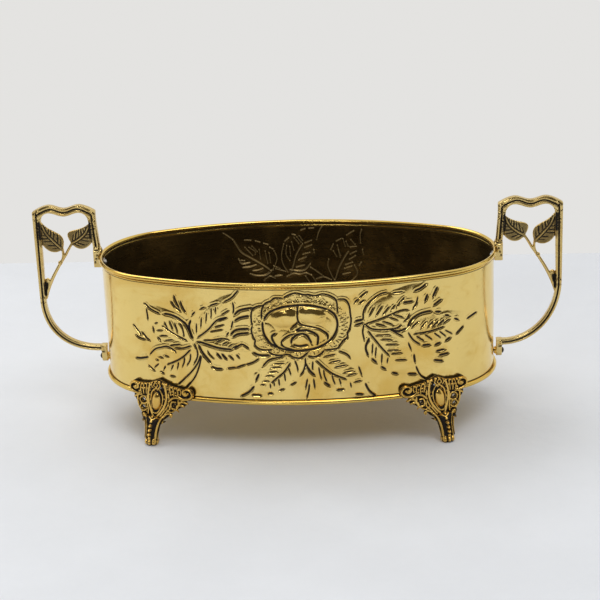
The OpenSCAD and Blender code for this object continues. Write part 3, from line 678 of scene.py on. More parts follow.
    (FINE, (80, 107.1), (90, 105.7)),
    (FINE, (84.3, 101.7), (95.7, 100.4)),
    (FINE, (85.4, 95.7), (96.4, 94.6)),
    (FINE, (89, 92.1), (99.3, 91.7)),
    (FINE, (92.6, 85.4), (103.6, 84.3)),
    (BOLD, (69.3, 109.3), (65.7, 100), (67.9, 91.4)),
    (FINE, (72.1, 103.6), (71.4, 92.9)),
    (FINE, (75.3, 100), (74.3, 90)),
    (FINE, (80.4, 92.9), (80, 83.1)),
    (FINE, (86, 88.6), (85, 82.6)),
    (BOLD, (70.7, 88.9), (75.7, 83.6)),
    (BOLD, (79.3, 80), (84, 76.4)),
    (BOLD, (89.3, 72.9), (95.4, 70.7)),
    (BOLD, (104.3, 70), (113.1, 68.3)),
    (LINE, (105.4, 100.7), (108.3, 92.6)),
    (BOLD, (110.7, 88.6), (111.7, 79.7)),
    (LINE, (112.4, 76.4), (116.4, 67.1), (122.6, 61.4)),
    # far right leaf
    (BOLD, (105, 115.7), (108.6, 122.1), (114.3, 126.4), (121.4, 128.3), (128.6, 128.6)),
    (BOLD, (131.4, 127.4), (137.9, 126.4)),
    (BOLD, (140.7, 122.9), (145.4, 121.7)),
    (BOLD, (150, 118.3), (155, 115.7)),
    (BOLD, (164, 114.6), (177.4, 117.9)),
    (LINE, (110.7, 108.6), (121.4, 108.9), (131.4, 110.3), (140, 112.1)),
    (FINE, (108.6, 115), (115.7, 120.7)),
    (FINE, (117.1, 113.3), (122.9, 119.7)),
    (FINE, (123.6, 113.6), (130, 119.3)),
    (LINE, (127.9, 112.4), (135, 118.9)),
    (LINE, (132.9, 113.6), (140.7, 119.3)),
    (FINE, (138.6, 115), (145.7, 118.6)),
    (LINE, (112.9, 106.4), (120.7, 100)),
    (FINE, (120.7, 107.1), (128.6, 100.4)),
    (FINE, (130, 107.1), (137.1, 100.7)),
    (FINE, (135, 108.3), (142.1, 101.4)),
    (FINE, (140.7, 108.3), (148.6, 102.9)),
    (LINE, (105.4, 110.7), (110, 102.9), (117.1, 97.1)),
    (BOLD, (118.6, 96.1), (126.9, 95.7)),
    (BOLD, (130.7, 94.6), (136.9, 96.4)),
    (BOLD, (141.1, 96.9), (147.1, 100)),
    (BOLD, (152.1, 102.1), (160.3, 108.9)),
    (BOLD, (132.1, 88.3), (141.1, 88.9)),
    (BOLD, (135, 83.6), (145, 84.6)),
    (BOLD, (129.7, 80), (139.3, 77.4)),
]
# Leaf swellings on the front: base, tip and half width.
FRONT_LEAVES = [
    ((-93, 108), (-138, 134), 12.0), ((-92, 109), (-52, 152), 12.5), ((-90, 103), (-38, 92), 11.0),
    ((-93, 102), (-148, 82), 14.0), ((0, 91), (-46, 57), 13.0), ((20, 89), (70, 54), 13.5),
    ((64, 126), (121, 153), 12.5), ((67, 118), (110, 70), 13.5), ((104, 113), (168, 114), 14.0),
]

# Strokes on the back: three leaves springing from a wavy stem, seen as raised lines inside.
BACK = [
    (LINE, (-79, 156), (-74, 152), (-70, 148.5)), (LINE, (-58, 147), (-52, 146.5)),
    (LINE, (-47, 145.5), (-43, 144)), (LINE, (-39, 142.5), (-35, 141)), (LINE, (-33, 138), (-30, 136)),
    (BOLD, (-70, 148.5), (-66, 141), (-62, 134), (-54, 128), (-45, 122), (-38, 117), (-33, 113)),
    (FINE, (-58, 139), (-51, 130)), (FINE, (-54, 139), (-48, 134), (-48, 131)), (FINE, (-51, 140),
     (-46, 134)),
    (FINE, (-44, 136), (-43, 126)), (FINE, (-38, 134), (-36, 121)), (FINE, (-34, 132), (-33, 122)),
    (LINE, (-29, 134), (-26.5, 127), (-28, 120), (-31, 114)),
    (FINE, (-64, 126), (-59, 125)), (BOLD, (-65, 127.5), (-62, 122), (-54, 122.5)),
    (BOLD, (-61, 118), (-54, 118), (-48, 119.5)), (LINE, (-51, 114), (-46, 114), (-41, 115.5)),
    (BOLD, (-54, 111), (-48, 108.5), (-38, 108.5), (-31, 114)), (FINE, (-30, 118), (-24, 115)),
    (LINE, (-28, 115), (-18, 111.5)),
    (LINE, (-17.5, 144), (-14, 147)), (LINE, (-10, 151), (-7, 150)), (LINE, (-1, 155), (3, 156.5)),
    (LINE, (7, 157), (11.5, 157)), (LINE, (20, 158.5), (16.5, 152), (14.5, 145)),
    (LINE, (-19, 141), (-21.5, 130), (-20.5, 120), (-16, 111)),
    (FINE, (-16, 139), (-17, 130), (-13.5, 123)), (FINE, (-13, 138), (-12.5, 128)),
    (FINE, (-11, 143), (-9, 134)), (FINE, (-8, 147), (-4, 141)), (FINE, (-5.5, 148), (-1.5, 142)),
    (LINE, (-3, 149), (0, 144)), (LINE, (2.5, 141), (9, 144)), (LINE, (2, 136), (9, 139)),
    (LINE, (0, 129), (7, 131)), (LINE, (-4.5, 123), (3, 126)), (LINE, (-7, 115.5), (0.5, 117.5)),
    (BOLD, (-13.5, 113), (-5, 111.5), (2, 113), (7, 119)), (LINE, (11, 134), (11.5, 131)),
    (BOLD, (-13, 108), (-10, 118), (-7, 128), (-2, 137), (0, 140)),
    (LINE, (-17, 106), (-10, 109), (-4, 108), (2, 109.5), (8, 107)), (LINE, (7, 115.5), (13, 111.5),
     (20, 106)),
    (BOLD, (-29, 107), (-22, 107.5)), (LINE, (-40, 103), (-35, 107), (-29, 105)),
    (LINE, (34.5, 143.5), (39, 146)), (LINE, (45, 150), (52, 154.5)), (LINE, (60, 156), (58.5, 149),
     (59, 142)),
    (LINE, (28.5, 134.5), (31, 140)), (LINE, (60.5, 135), (61.5, 130)), (LINE, (59, 121.5), (57, 118)),
    (LINE, (26, 124), (25, 117), (28, 108), (31, 102)),
    (BOLD, (32, 102), (36, 114), (41, 124), (46, 132)),
    (FINE, (31, 133), (34, 127)), (FINE, (35, 139), (38, 128)), (FINE, (41, 146), (43, 138)),
    (FINE, (44, 143), (46, 138)), (FINE, (49, 145), (53, 140)), (FINE, (36, 134), (37.5, 126)),
    (FINE, (48, 137), (54, 138)), (FINE, (48, 129.5), (54, 133)), (FINE, (47, 124), (53, 128)),
    (FINE, (43, 118), (50, 121)), (FINE, (42, 114), (49, 117)), (FINE, (40, 108), (47, 110)),
    (LINE, (52, 118), (55, 110), (48, 101), (36, 98)), (LINE, (13, 103), (20, 105), (28, 102)),
    (LINE, (8, 107), (13, 98), (12, 86), (6, 74), (-4, 62)), (LINE, (2, 106), (7, 96), (5, 85),
     (-2, 74), (-10, 64)),
]
BACK_LEAVES = [
    ((-31, 112), (-70, 147), 13.0), ((-12, 109), (10, 156), 14.0), ((31, 102), (54, 152), 14.0),
    ((8, 88), (52, 66), 11.0), ((2, 86), (-46, 70), 11.0),
]
# Lower leaves on the back: base, tip, half width, number of veins a side.
BACK_DRAWN = [((-8, 88), (-52, 66), 10.0, 5), ((-2, 86), (46, 70), 10.0, 5)]


def leaf_domes(relief, leaves, height):
    """Soft swelling under every leaf."""
    for base, tip, half in leaves:
        dx, dy = tip[0] - base[0], tip[1] - base[1]
        centre = (base[0] + 0.5 * dx, base[1] + 0.5 * dy)
        size = (0.53 * math.hypot(dx, dy), half)
        relief.dome(centre, size, math.degrees(math.atan2(dy, dx)), height)


def drawn_leaf(relief, base, tip, half, veins):
    """A plain chased leaf: outline, midrib and veins."""
    b, t = np.array(base, float), np.array(tip, float)
    along = t - b
    across = np.array([-along[1], along[0]]) / np.hypot(*along)
    for side in (-1, 1):
        edge = [b, b + 0.2 * along + side * half * 0.85 * across, b + 0.5 * along + side * half * across,
                b + 0.8 * along + side * half * 0.5 * across, t]
        relief.groove(edge, LINE, 0.62)
        for i in range(veins):
            f = 0.18 + 0.66 * i / veins
            reach = half * 0.78 * math.sin(math.pi * (0.14 + 0.8 * f))
            relief.groove([b + f * along + side * 1.5 * across,
                           b + (f + 0.16) * along + side * reach * across], FINE, 0.5)
    relief.groove([b, b + 0.45 * along, b + 0.88 * along], LINE, 0.6)


def stipple(relief, centre, outer, inner, count, seed, keep=None):
    """Punched matting between two ovals."""
    rng = np.random.default_rng(seed)
    for _ in range(count):
        a = rng.uniform(0, 2 * math.pi)
        f = math.sqrt(rng.uniform(0, 1))
        u = centre[0] + math.cos(a) * (inner[0] + (outer[0] - inner[0]) * f)
        v = centre[1] + math.sin(a) * (inner[1] + (outer[1] - inner[1]) * f)
        size = rng.uniform(0.5, 0.95)
        dark = rng.uniform(0.15, 0.5)
        if keep is None or keep(u, v):
            win = relief.window(np.array([u, v]), np.array([u, v]), 2.4 * size)
            gu, gv = np.meshgrid(relief.u[win[0]] - u, relief.v[win[1]] - v, indexing="ij")
            q = (gu ** 2 + gv ** 2) / size ** 2
            relief.h[win] -= 0.22 * np.exp(-q)
            relief.p[win] = np.maximum(relief.p[win], dark * np.exp(-0.8 * q))


ROSE = (7.0, 122.8)


def rose(relief):
    """Swelling petals of the big rose and the matted ground round them."""
    relief.dome(ROSE, (46, 31), 0, 0.45, 0.6)
    relief.dome((6.5, 122.3), (35, 23), 0, 0.25, 0.5)
    relief.dome((-7.5, 132.3), (13.5, 9.2), 10, 2.75, 0.85)
    relief.dome((17.5, 134.4), (13.0, 8.4), -14, 2.6, 0.85)
    relief.dome((27.5, 122.5), (9.5, 11.0), 20, 0.6, 0.8)
    relief.dome((-20.5, 118.0), (5.5, 10.5), 24, 0.6, 0.8)
    relief.dome((-8.0, 112.5), (7.5, 9.0), 20, 0.55, 0.8)
    relief.dome((7.2, 110.6), (9.2, 5.8), 0, 1.1, 0.8)
    relief.dome((7.5, 118.0), (13.5, 3.4), -4, 0.5, 0.8)
    relief.dome((28.5, 108.0), (5.5, 7.0), -30, 0.5, 0.8)
    stipple(relief, ROSE, (45.0, 30.5), (34.5, 22.5), 520, 5)
    stipple(relief, ROSE, (45.5, 31.5), (34.5, 23.5), 520, 6, lambda u, v: v > 140)
    rng = np.random.default_rng(9)
    for k in range(44):
        a = 2 * math.pi * (k + rng.uniform(-0.3, 0.3)) / 44
        c, s = math.cos(a), math.sin(a)
        start = (ROSE[0] + 36.0 * c, ROSE[1] + 24.0 * s)
        end = (ROSE[0] + (40.0 + rng.uniform(0, 3)) * c, ROSE[1] + (27.0 + rng.uniform(0, 2)) * s)
        relief.groove([start, end], 0.95, 0.3, dark=0.75)


def hand_made(relief, seed):
    """Faint planishing waves that make the reflections wander."""
    rng = np.random.default_rng(seed)
    gu, gv = np.meshgrid(relief.u, relief.v, indexing="ij")
    wave = np.zeros(gu.shape)
    for _ in range(14):
        length = rng.uniform(26, 90)
        a = rng.uniform(0, 2 * math.pi)
        phase = rng.uniform(0, 2 * math.pi)
        push = (gu * math.cos(a) + gv * math.sin(a)) * 2 * math.pi / length
        wave += (length / 90) ** 2 * np.sin(push + phase)
    relief.h += 0.045 * wave


def wall_relief(strokes, leaves, seed, with_rose):
    """The whole drawing on one half of the wall."""
    nu, nv = WALL_CELLS
    low, high = SHEET_LOW, SHEET_TOP
    relief = Relief(-HALF_LEN, low, nu, nv, 2 * HALF_LEN / nu, (high - low) / nv)
    leaf_domes(relief, leaves, 1.15)
    if with_rose:
        rose(relief)
    depth = {BOLD: 0.95, LINE: 0.8, FINE: 0.75}
    slim = 1.0 if with_rose else 0.72
    for width, *points in strokes:
        relief.groove(points, width * slim, depth[width], grow=0.9)
    if not with_rose:
        for leaf in BACK_DRAWN:
            drawn_leaf(relief, *leaf)
        for _, *points in strokes:
            for end in (points[0], points[-1]):
                relief.dome(end, (0.95, 0.95), 0, -0.5, 0.8, 1.0)
    relief.h = blur(relief.h)
    hand_made(relief, seed)
    fade = ease(relief.v, low + 1.0, low + 4.0) * (1 - ease(relief.v, high - 4.0, high - 1.0))
    relief.h *= fade[None, :]
    spare = SWELL_SPARE * np.tanh((relief.h - SWELL_TOP) / SWELL_SPARE)
    relief.h = np.where(relief.h > SWELL_TOP, SWELL_TOP + spare, relief.h)
    # painted shade: dark bands just under the rim roll, under the fold below it and just above the floor
    # bead, where shadow lines fall
    painted_crevice_shade = np.exp(-((relief.v - (RIM_Z - 2.35)) / 0.45) ** 2)
    painted_crevice_shade += 0.8 * np.exp(-((relief.v - (RIM_Z - 4.75)) / 0.5) ** 2)
    painted_crevice_shade += np.exp(-((relief.v - (BEAD_Z + BEAD_R + 0.25)) / 0.6) ** 2)
    relief.p = np.maximum(relief.p, 0.95 * np.clip(painted_crevice_shade, 0, 1)[None, :])
    return relief


def turned(pts):
    """Half a turn about the pot's axis."""
    return np.asarray(pts) * np.array([-1, -1, 1])


def edge_faces(out_loop, in_loop, shift):
    """Faces across the sheet's thickness, from the outer face's border to the inner face's."""
    corners = dict(in_loop)
    keys = [p for p, _ in out_loop if p in corners]
    outer = [p for p, _ in out_loop]
    outer_ix = dict(out_loop)
    inner = [p for p, _ in in_loop]
    faces = []
    for a, b in zip(keys, keys[1:] + keys[:1]):
        i0, i1 = outer.index(a), outer.index(b)
        run = outer[i0:i1 + 1] if i1 > i0 else outer[i0:] + outer[:i1 + 1]
        j0, j1 = inner.index(a), inner.index(b)
        back_run = inner[j0:j1 + 1] if j1 > j0 else inner[j0:] + inner[:j1 + 1]
        faces.append([outer_ix[p] for p in run][::-1] + [corners[p] + shift for p in back_run])
    return faces


def wall_half(name, node_name, relief, back):
    """Sheet with its drawing, the rim rolled outwards over the wire and the fold below it."""
    out = sheet_surface(relief, 0.0, False, 0.018, 1)
    tol, smallest = (0.02, 1) if back else (0.035, 2)
    inn = sheet_surface(relief, -SHEET, True, tol, smallest)
    pts, nrm, pat = [out[0], inn[0]], [out[1], inn[1]], [out[2], inn[2]]
    faces = list(out[3])
    mats = [0] * len(faces)
    shift = len(out[0])
    faces += [[q + shift for q in f] for f in inn[3]]
    mats += [1] * len(inn[3])
    rim_faces = edge_faces(out[4], inn[4], shift)
    faces += rim_faces
    mats += [0] * len(rim_faces)
    s = np.linspace(-HALF_LEN, HALF_LEN, 420)
    x, y, nx, ny = wall_frame(s)
    wobble = -0.04 + 0.02 * np.sin(s / 19.0) + 0.02 * np.sin(s / 7.3 + 1.0)
    for cut in (ring_cut(ROLL_X, RIM_Z, ROLL_R - 0.01, 22), ring_cut(0.0, FOLD_Z, FOLD_R, 14)):
        p, n, a, f = swept(cut, x + nx * wobble, y + ny * wobble, nx, ny, False, np.zeros(len(cut)))
        base = sum(len(q) for q in pts)
        pts.append(p)
        nrm.append(n)
        pat.append(a)
        faces += [[q + base for q in g] for g in f]
        mats += [2] * len(f)
    pts, nrm, pat = np.vstack(pts), np.vstack(nrm), np.concatenate(pat)
    if back:
        pts, nrm = turned(pts), turned(nrm)
    pts[:, 2] = np.clip(pts[:, 2], WALL_LOW[2], WALL_HIGH[2])
    obj = new_object(name, pts, faces, [WALL, INSIDE, RIM], nrm, pat, mats)
    return add_piece(obj, "wall_brass", node_name)


def full_loop(n):
    """Frames all the way round the oval, starting at the left end and going round the front."""
    s = np.linspace(-HALF_LEN, HALF_LEN, n, endpoint=False)
    x, y, nx, ny = wall_frame(s)
    return (np.concatenate([x, -x]), np.concatenate([y, -y]),
            np.concatenate([nx, -nx]), np.concatenate([ny, -ny]))


def floor_piece():
    """Floor sheet, a little dished by hand, with its edge rolled into the bead round the wall."""
    x, y, nx, ny = full_loop(260)
    n = len(x)
    cut = ring_cut(BEAD_X, BEAD_Z, BEAD_R, 24)
    pts, nrm, pat, faces = swept(cut, x, y, nx, ny, True, np.zeros(24))
    pts, nrm, pat = [pts], [nrm], [pat]
    mats = [0] * len(faces)
    insets = [0.2, 4, 10, 18, 28, 40, 52, 64]
    scales = [0.72, 0.42, 0.16]
    rng = np.random.default_rng(3)
    phase = rng.uniform(0, 6.28, 4)
    for side, z0 in ((0, FLOOR_Z), (1, FLOOR_Z - SHEET)):
        rings = [np.stack([x - nx * d, y - ny * d], 1) for d in insets]
        rings += [rings[-1] * k for k in scales] + [np.zeros((1, 2))]
        base = sum(len(q) for q in pts)
        layer = np.vstack(rings)
        dish = 0.10 * np.sin(layer[:, 0] / 31 + phase[0]) * np.cos(layer[:, 1] / 23 + phase[1])
        dish += 0.06 * np.sin(layer[:, 0] / 13 + phase[2]) * np.sin(layer[:, 1] / 17 + phase[3])
        z = z0 + dish - (0.12 if side == 0 else -0.12)
        pts.append(np.column_stack([layer, z]))
        up = 1.0 if side == 0 else -1.0
        nrm.append(np.tile([0.0, 0.0, up], (len(layer), 1)))
        pat.append(np.zeros(len(layer)))
        new = []
        for r in range(len(rings) - 2):
            for i in range(n):
                k = (i + 1) % n
                new.append([base + r * n + i, base + r * n + k, base + (r + 1) * n + k,
                            base + (r + 1) * n + i])
        last = base + (len(rings) - 2) * n
        new += [[last + i, last + (i + 1) % n, base + len(layer) - 1] for i in range(n)]
        if side == 1:
            new = [f[::-1] for f in new]
        faces += new
        mats += [1 if side == 0 else 0] * len(new)
    obj = new_object("floor_sheet", np.vstack(pts), faces, [RIM, INSIDE], None, np.concatenate(pat), mats)
    return add_piece(obj, "base_brass", "base_plate")


# ---- cast pieces ----------------------------------------------------------------------------
def tube(points, radii):
    """Round bar through the points, closed at both ends, in millimetres."""
    p = smooth(points, 5)
    r = np.interp(np.linspace(0, 1, len(p)), np.linspace(0, 1, len(radii)), radii)
    t = np.gradient(p, axis=0)
    t /= np.linalg.norm(t, axis=1)[:, None]
    ref = np.array([0.0, 1.0, 0.0]) if abs(t[0][1]) < 0.8 else np.array([1.0, 0.0, 0.0])
    u = np.cross(t, ref)
    u /= np.linalg.norm(u, axis=1)[:, None]
    v = np.cross(t, u)
    sides = TUBE_SIDES
    a = np.arange(sides) * 2 * math.pi / sides
    ring = (u[:, None, :] * np.cos(a)[None, :, None] + v[:, None, :] * np.sin(a)[None, :, None])
    pts = (p[:, None, :] + ring * r[:, None, None]).reshape(-1, 3)
    n = len(p)
    faces = [[i * sides + j, i * sides + (j + 1) % sides, (i + 1) * sides + (j + 1) % sides,
              (i + 1) * sides + j] for i in range(n - 1) for j in range(sides)]
    faces.append(list(range(sides))[::-1])
    faces.append([(n - 1) * sides + j for j in range(sides)])
    return pts, faces


def remeshed(node_name, voxel, extras=()):
    """Skin of a CAD casting with extra bars grown on, rounded as casting rounds them."""
    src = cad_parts[node_name].data
    n = len(src.vertices)
    co = np.empty(n * 3)
    src.vertices.foreach_get("co", co)
    verts = [co.reshape(-1, 3) * 1000]
    faces = [list(p.vertices) for p in src.polygons]
    total = n
    for pts, polys in extras:
        verts.append(pts)
        faces += [[q + total for q in f] for f in polys]
        total += len(pts)
    mesh = bpy.data.meshes.new("rough")
    mesh.from_pydata(np.vstack(verts).tolist(), [], faces)
    obj = bpy.data.objects.new("rough", mesh)
    bpy.context.scene.collection.objects.link(obj)
    mod = obj.modifiers.new("skin", "REMESH")
    mod.mode = "VOXEL"
    mod.voxel_size = voxel
    mod.adaptivity = 0.0
    done = obj.evaluated_get(bpy.context.evaluated_depsgraph_get()).to_mesh()
    co = np.empty(len(done.vertices) * 3)
    done.vertices.foreach_get("co", co)
    polys = np.empty(len(done.loops), np.int32)
    done.loops.foreach_get("vertex_index", polys)
    bpy.data.objects.remove(obj)
    bpy.data.meshes.remove(mesh)
    return co.reshape(-1, 3), polys.reshape(-1, 4)


def point_normals(verts, quads):
    """Unit normals of a quad mesh's points."""
    a, b, c, d = [verts[quads[:, k]] for k in range(4)]
    n = np.cross(c - a, d - b)
    out = np.zeros(verts.shape)
    for k in range(4):
        for axis in range(3):
            out[:, axis] += np.bincount(quads[:, k], n[:, axis], len(verts))
    return out / np.maximum(np.linalg.norm(out, axis=1), 1e-12)[:, None]


def relaxed(verts, quads, times, pull=0.5):
    """Laplacian smoothing over the quads' edges."""
    e = np.vstack([quads[:, [0, 1]], quads[:, [1, 2]], quads[:, [2, 3]], quads[:, [3, 0]]])
    count = np.bincount(e.ravel(), minlength=len(verts))[:, None]
    for _ in range(times):
        mean = np.zeros(verts.shape)
        for axis in range(verts.shape[1]):
            mean[:, axis] = (np.bincount(e[:, 0], verts[e[:, 1], axis], len(verts))
                             + np.bincount(e[:, 1], verts[e[:, 0], axis], len(verts)))
        verts = verts + pull * (mean / count - verts)
    return verts


def cavity(verts, quads, reach):
    """How far each point lies below its softened surroundings, in millimetres; above is negative."""
    soft = relaxed(verts, quads, reach)
    return np.einsum("ij,ij->i", soft - verts, point_normals(verts, quads))


def clamp_to(verts, node_name):
    """Keeps a piece inside the box of the CAD node it stands for."""
    low, high = [np.array(c) * 1000 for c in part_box(node_name)]
    return np.clip(verts, low, high)


# Raised drawing of a foot: width, top and then points across and up, in millimetres.
FOOT_BARS = [
    (2.6, 0.7, (-18, 50.6), (-24, 48.2), (-30, 49.5), (-32.8, 53), (-31.4, 57), (-27.8, 58.8),
     (-24.4, 57.4),
     (-23.8, 54.2), (-26, 52.4), (-28.4, 54.2)),
    (2.6, 0.7, (20, 48.4), (25, 49), (29.8, 51), (31.8, 54.6), (30.6, 58), (27, 59.6), (23.6, 58.2),
     (23.2, 55.4), (25.6, 53.6), (27.8, 55.2)),
    (2.2, 0.9, (-23.5, 47.6), (-18, 49.2), (-12.5, 48), (-8.6, 44.4)),
    (2.6, 0.6, (-5.2, 61.5), (-6.2, 55), (-6.6, 48), (-4.2, 40), (0.2, 33), (4.4, 28)),
    (1.5, 0.1, (-8.4, 52), (-8.8, 46.5), (-6.6, 39), (-3, 33.4)),
    (2.4, 0.6, (9.8, 60), (12, 53), (12.6, 46), (12, 39), (10.4, 31.5), (8.8, 27.5)),
    (1.6, 0.5, (0.2, 56), (-2.4, 50), (-1.8, 43), (1, 36), (4.8, 31), (8.8, 31.4), (10, 37), (9.8, 45),
     (8.4, 52), (4.6, 56), (0.2, 56)),
    (1.5, 0.4, (-10, 60.4), (-10.6, 56), (-11.2, 51)),
    (1.5, 0.4, (-13.2, 59.6), (-14.4, 55), (-14.4, 50.6)),
    (1.5, 0.3, (-17.4, 58.6), (-18.6, 55), (-18, 51.6)),
    (1.4, 0.3, (-21, 58), (-21.6, 55), (-20.8, 52)),
    (1.4, 0.4, (13.4, 58.8), (14.4, 54), (14.6, 49.6)),
    (1.4, 0.4, (16.6, 58.6), (17.6, 54), (17.4, 49.4)),
    (1.4, 0.3, (19.6, 58.2), (20.8, 54), (20.2, 50)),
    (1.7, 0.5, (0.8, 63.4), (-0.8, 59.4), (0.8, 57)),
    (1.7, 0.5, (6.8, 63.4), (8.4, 59.6), (7, 57)),
    (1.5, 0.6, (3.8, 57.4), (1.8, 59.6), (3.8, 62), (5.8, 59.6), (3.8, 57.4)),
    (1.7, 0.6, (14.6, 43), (16, 46), (19.4, 46.4), (21.8, 43.4), (20.8, 39.8), (17.4, 39.2), (14.6, 41)),
    (1.7, 0.6, (15.4, 36), (17, 38.6), (20.6, 38.2), (22.4, 35), (20.6, 31.8), (17.2, 32.2), (15.4, 34)),
    (1.6, 0.5, (14, 47.6), (13.6, 43), (14.2, 39), (13.6, 34), (14.2, 29)),
    (1.9, 0.7, (-18.6, 47), (-18.4, 41.4), (-15.2, 37), (-11.4, 38), (-10.6, 41.6), (-12.4, 44.6),
     (-15.6, 44.4)),
    (1.7, 0.6, (-8.2, 42.4), (-9.2, 37.4), (-6.6, 34.2), (-3.6, 31)),
    (1.5, 0.5, (-13.4, 34.8), (-9.4, 33.4), (-6.2, 35.4)),
    (2.2, 0.8, (-11, 30.6), (-7.2, 32), (-3.2, 29.6), (0.2, 26), (2.8, 20.5), (4.4, 14), (4.9, 7)),
    (2.2, 0.8, (18.6, 29), (16.6, 26.8), (14.8, 22), (14.4, 15), (14.6, 7.5)),
    (1.3, 0.4, (-1.6, 23.4), (1.0, 17), (2.6, 10.5), (3.1, 5)),
    (1.3, 0.4, (17.0, 22.4), (16.6, 15), (16.9, 8)),
    (1.4, 0.4, (4.6, 27.2), (8.2, 25.4), (11.8, 27.2)),
    (2.2, 0.6, (-18.6, 44.6), (-23.4, 45.4), (-27.2, 44.0)),
    (2.0, 0.5, (-16.8, 41.0), (-20.6, 42.0), (-24.0, 40.6)),
    (1.8, 0.5, (-13.4, 37.4), (-16.4, 36.6), (-18.6, 34.6)),
    (1.8, 0.5, (-22.6, 47.0), (-19.4, 43.4), (-16.2, 39.4)),
    (2.0, 0.5, (23.0, 47.2), (25.6, 46.2), (27.8, 44.6)),
    (2.0, 0.6, (24.2, 45.4), (24.4, 40.8), (23.2, 36.2), (20.4, 31.6)),
    (1.7, 0.4, (-3.4, 34.6), (-0.8, 30.6), (2.0, 27.4)),
]
FOOT_BEADS = [
    (4, 64.2, 2.0), (0, 62.6, 1.3), (8, 62.4, 1.3), (-3.6, 61.8, 1.2), (11, 61.2, 1.2), (-7.2, 60.8, 1.2),
    (-11.8, 59.2, 1.0), (-15.6, 58.4, 1.0), (-19.4, 57.4, 1.0), (15, 60, 1.0), (18.4, 59.4, 1.0),
    (21.6, 58.8, 1.0), (12.6, 55.4, 0.8), (16, 55.2, 0.8), (19, 54.8, 0.8), (22, 51.6, 0.9),
    (-12.8, 55, 0.8), (-16.4, 54.2, 0.8), (-12.8, 52, 0.8), (-16.2, 51.6, 0.7),
    (8.8, 24.0, 1.2), (9.3, 19.8, 1.3), (9.8, 15.6, 1.4), (10.3, 11.4, 1.5), (10.5, 7.6, 1.4),
    (17.8, 27.6, 1.6), (-10, 29.6, 1.6), (-25.8, 54.6, 1.2), (25.6, 56, 1.2),
]
# Bars grown on the foot's outline: radii, then points across, up and off the wall.
FOOT_EDGES = [
    ((1.5, 1.4, 1.2, 0.9), (-20, 48.4, 3.2), (-27, 48.2, 3.2), (-32.2, 51.6, 3.2), (-32.2, 56.6, 3.2),
     (-28.6, 58.8, 3.2), (-25, 57.6, 3.2)),
    ((1.5, 1.4, 1.2, 0.9), (20, 48.4, 3.2), (27, 49.0, 3.2), (31.4, 52.8, 3.2), (31.4, 57.2, 3.2),
     (27.6, 59.6, 3.2), (24, 58.4, 3.2)),
    ((1.6, 1.3, 0.7), (-18, 45.0, 3.0), (-24, 45.6, 3.4), (-28.4, 43.6, 3.6)),
    ((1.5, 1.2, 0.6), (-15, 41.0, 3.0), (-20.6, 42.0, 3.4), (-24.4, 40.0, 3.6)),
    ((1.4, 1.4, 1.3), (-22, 47.2, 3.4), (-18.4, 42.4, 3.4), (-14.6, 37.6, 3.4), (-11.0, 33.6, 3.6)),
    ((1.4, 1.2, 0.6), (-12, 37.0, 3.4), (-15.8, 36.4, 3.6), (-18.2, 34.2, 3.8)),
    ((1.2, 1.5, 1.5, 1.6, 1.5, 1.4), (-9.4, 28.6, 4.6), (-10.6, 30.8, 4.6), (-6.6, 31.6, 4.8),
     (-2.2, 28.4, 5.0), (1.2, 23.4, 5.2), (3.2, 17.4, 6.2), (4.2, 10.6, 7.6), (4.6, 5.4, 9.2)),
    ((1.3, 1.1, 0.6), (1.6, 21.0, 5.4), (-1.4, 22.8, 5.4), (-4.4, 23.8, 5.2)),
    ((1.5, 1.2, 0.6), (20.0, 47.6, 3.2), (25.0, 46.6, 3.4), (28.2, 44.4, 3.6)),
    ((1.3, 1.4, 1.3, 1.2), (24.2, 46.4, 3.4), (24.4, 41.4, 3.4), (23.2, 36.2, 3.4), (19.8, 31.4, 3.6)),
    ((1.3, 1.5, 1.5, 1.5, 1.4), (16.0, 31.0, 4.4), (19.8, 29.2, 4.6), (18.8, 25.6, 5.0), (16.6, 20.6, 5.8),
     (16.0, 12.0, 7.4), (16.2, 5.4, 9.2)),
    ((1.1, 1.0, 0.5), (16.6, 24.0, 5.4), (19.4, 23.0, 5.4), (20.0, 20.6, 5.6)),
]
FOOT_TURN = math.radians(19.6)
PLATE_OUT = 4.5
TOE = (10.4, 7.6)


def foot_relief():
    """Raised drawing over the front of a foot: across along the wall, and height."""
    relief = Relief(-38.0, -2.0, 380, 360, 0.2, 0.2, -1.3, 0.96)
    gu, gv = np.meshgrid(relief.u, relief.v, indexing="ij")
    relief.h += 0.75 * np.exp(-((gu - 4) / 10.0) ** 2 - ((gv - 44) / 16.0) ** 2)
    rng = np.random.default_rng(21)
    for _ in range(110):
        u, v = rng.uniform(-24, 24), rng.uniform(30, 60)
        r = rng.uniform(0.7, 1.1)
        relief.dome((u, v), (r, r), 0, rng.uniform(0.4, 1.0), 0.5, 0.3, True)
    for width, top, *points in FOOT_BARS:
        relief.ridge(points, 1.08 * width, 1.5 * top - 0.1)
    relief.dome((4.4, 43.4), (6.0, 11.2), 11, -0.9, 0.3, 1.0, False)
    relief.dome((4.4, 43.4), (4.7, 9.8), 11, 2.9, 0.5, 0.0, False)
    for u, v, r in FOOT_BEADS:
        relief.dome((u, v), (r + 0.2, r + 0.2), 0, 1.1, 0.5, 0.0, False)
    for k in (-1, 0, 1):
        relief.dome((TOE[0] + 3.9 * k, 3.6 + 0.5 * (k == 0)), (2.3, 3.4), 0, 0.5, 0.5, 0.0, False)
    for k in (-1, 1):
        relief.groove([(TOE[0] + 1.95 * k, -0.5), (TOE[0] + 2.1 * k, 6.8)], 1.3, 0.7, 1.0, 0.0, 1.0)
    relief.h = blur(relief.h)
    return relief


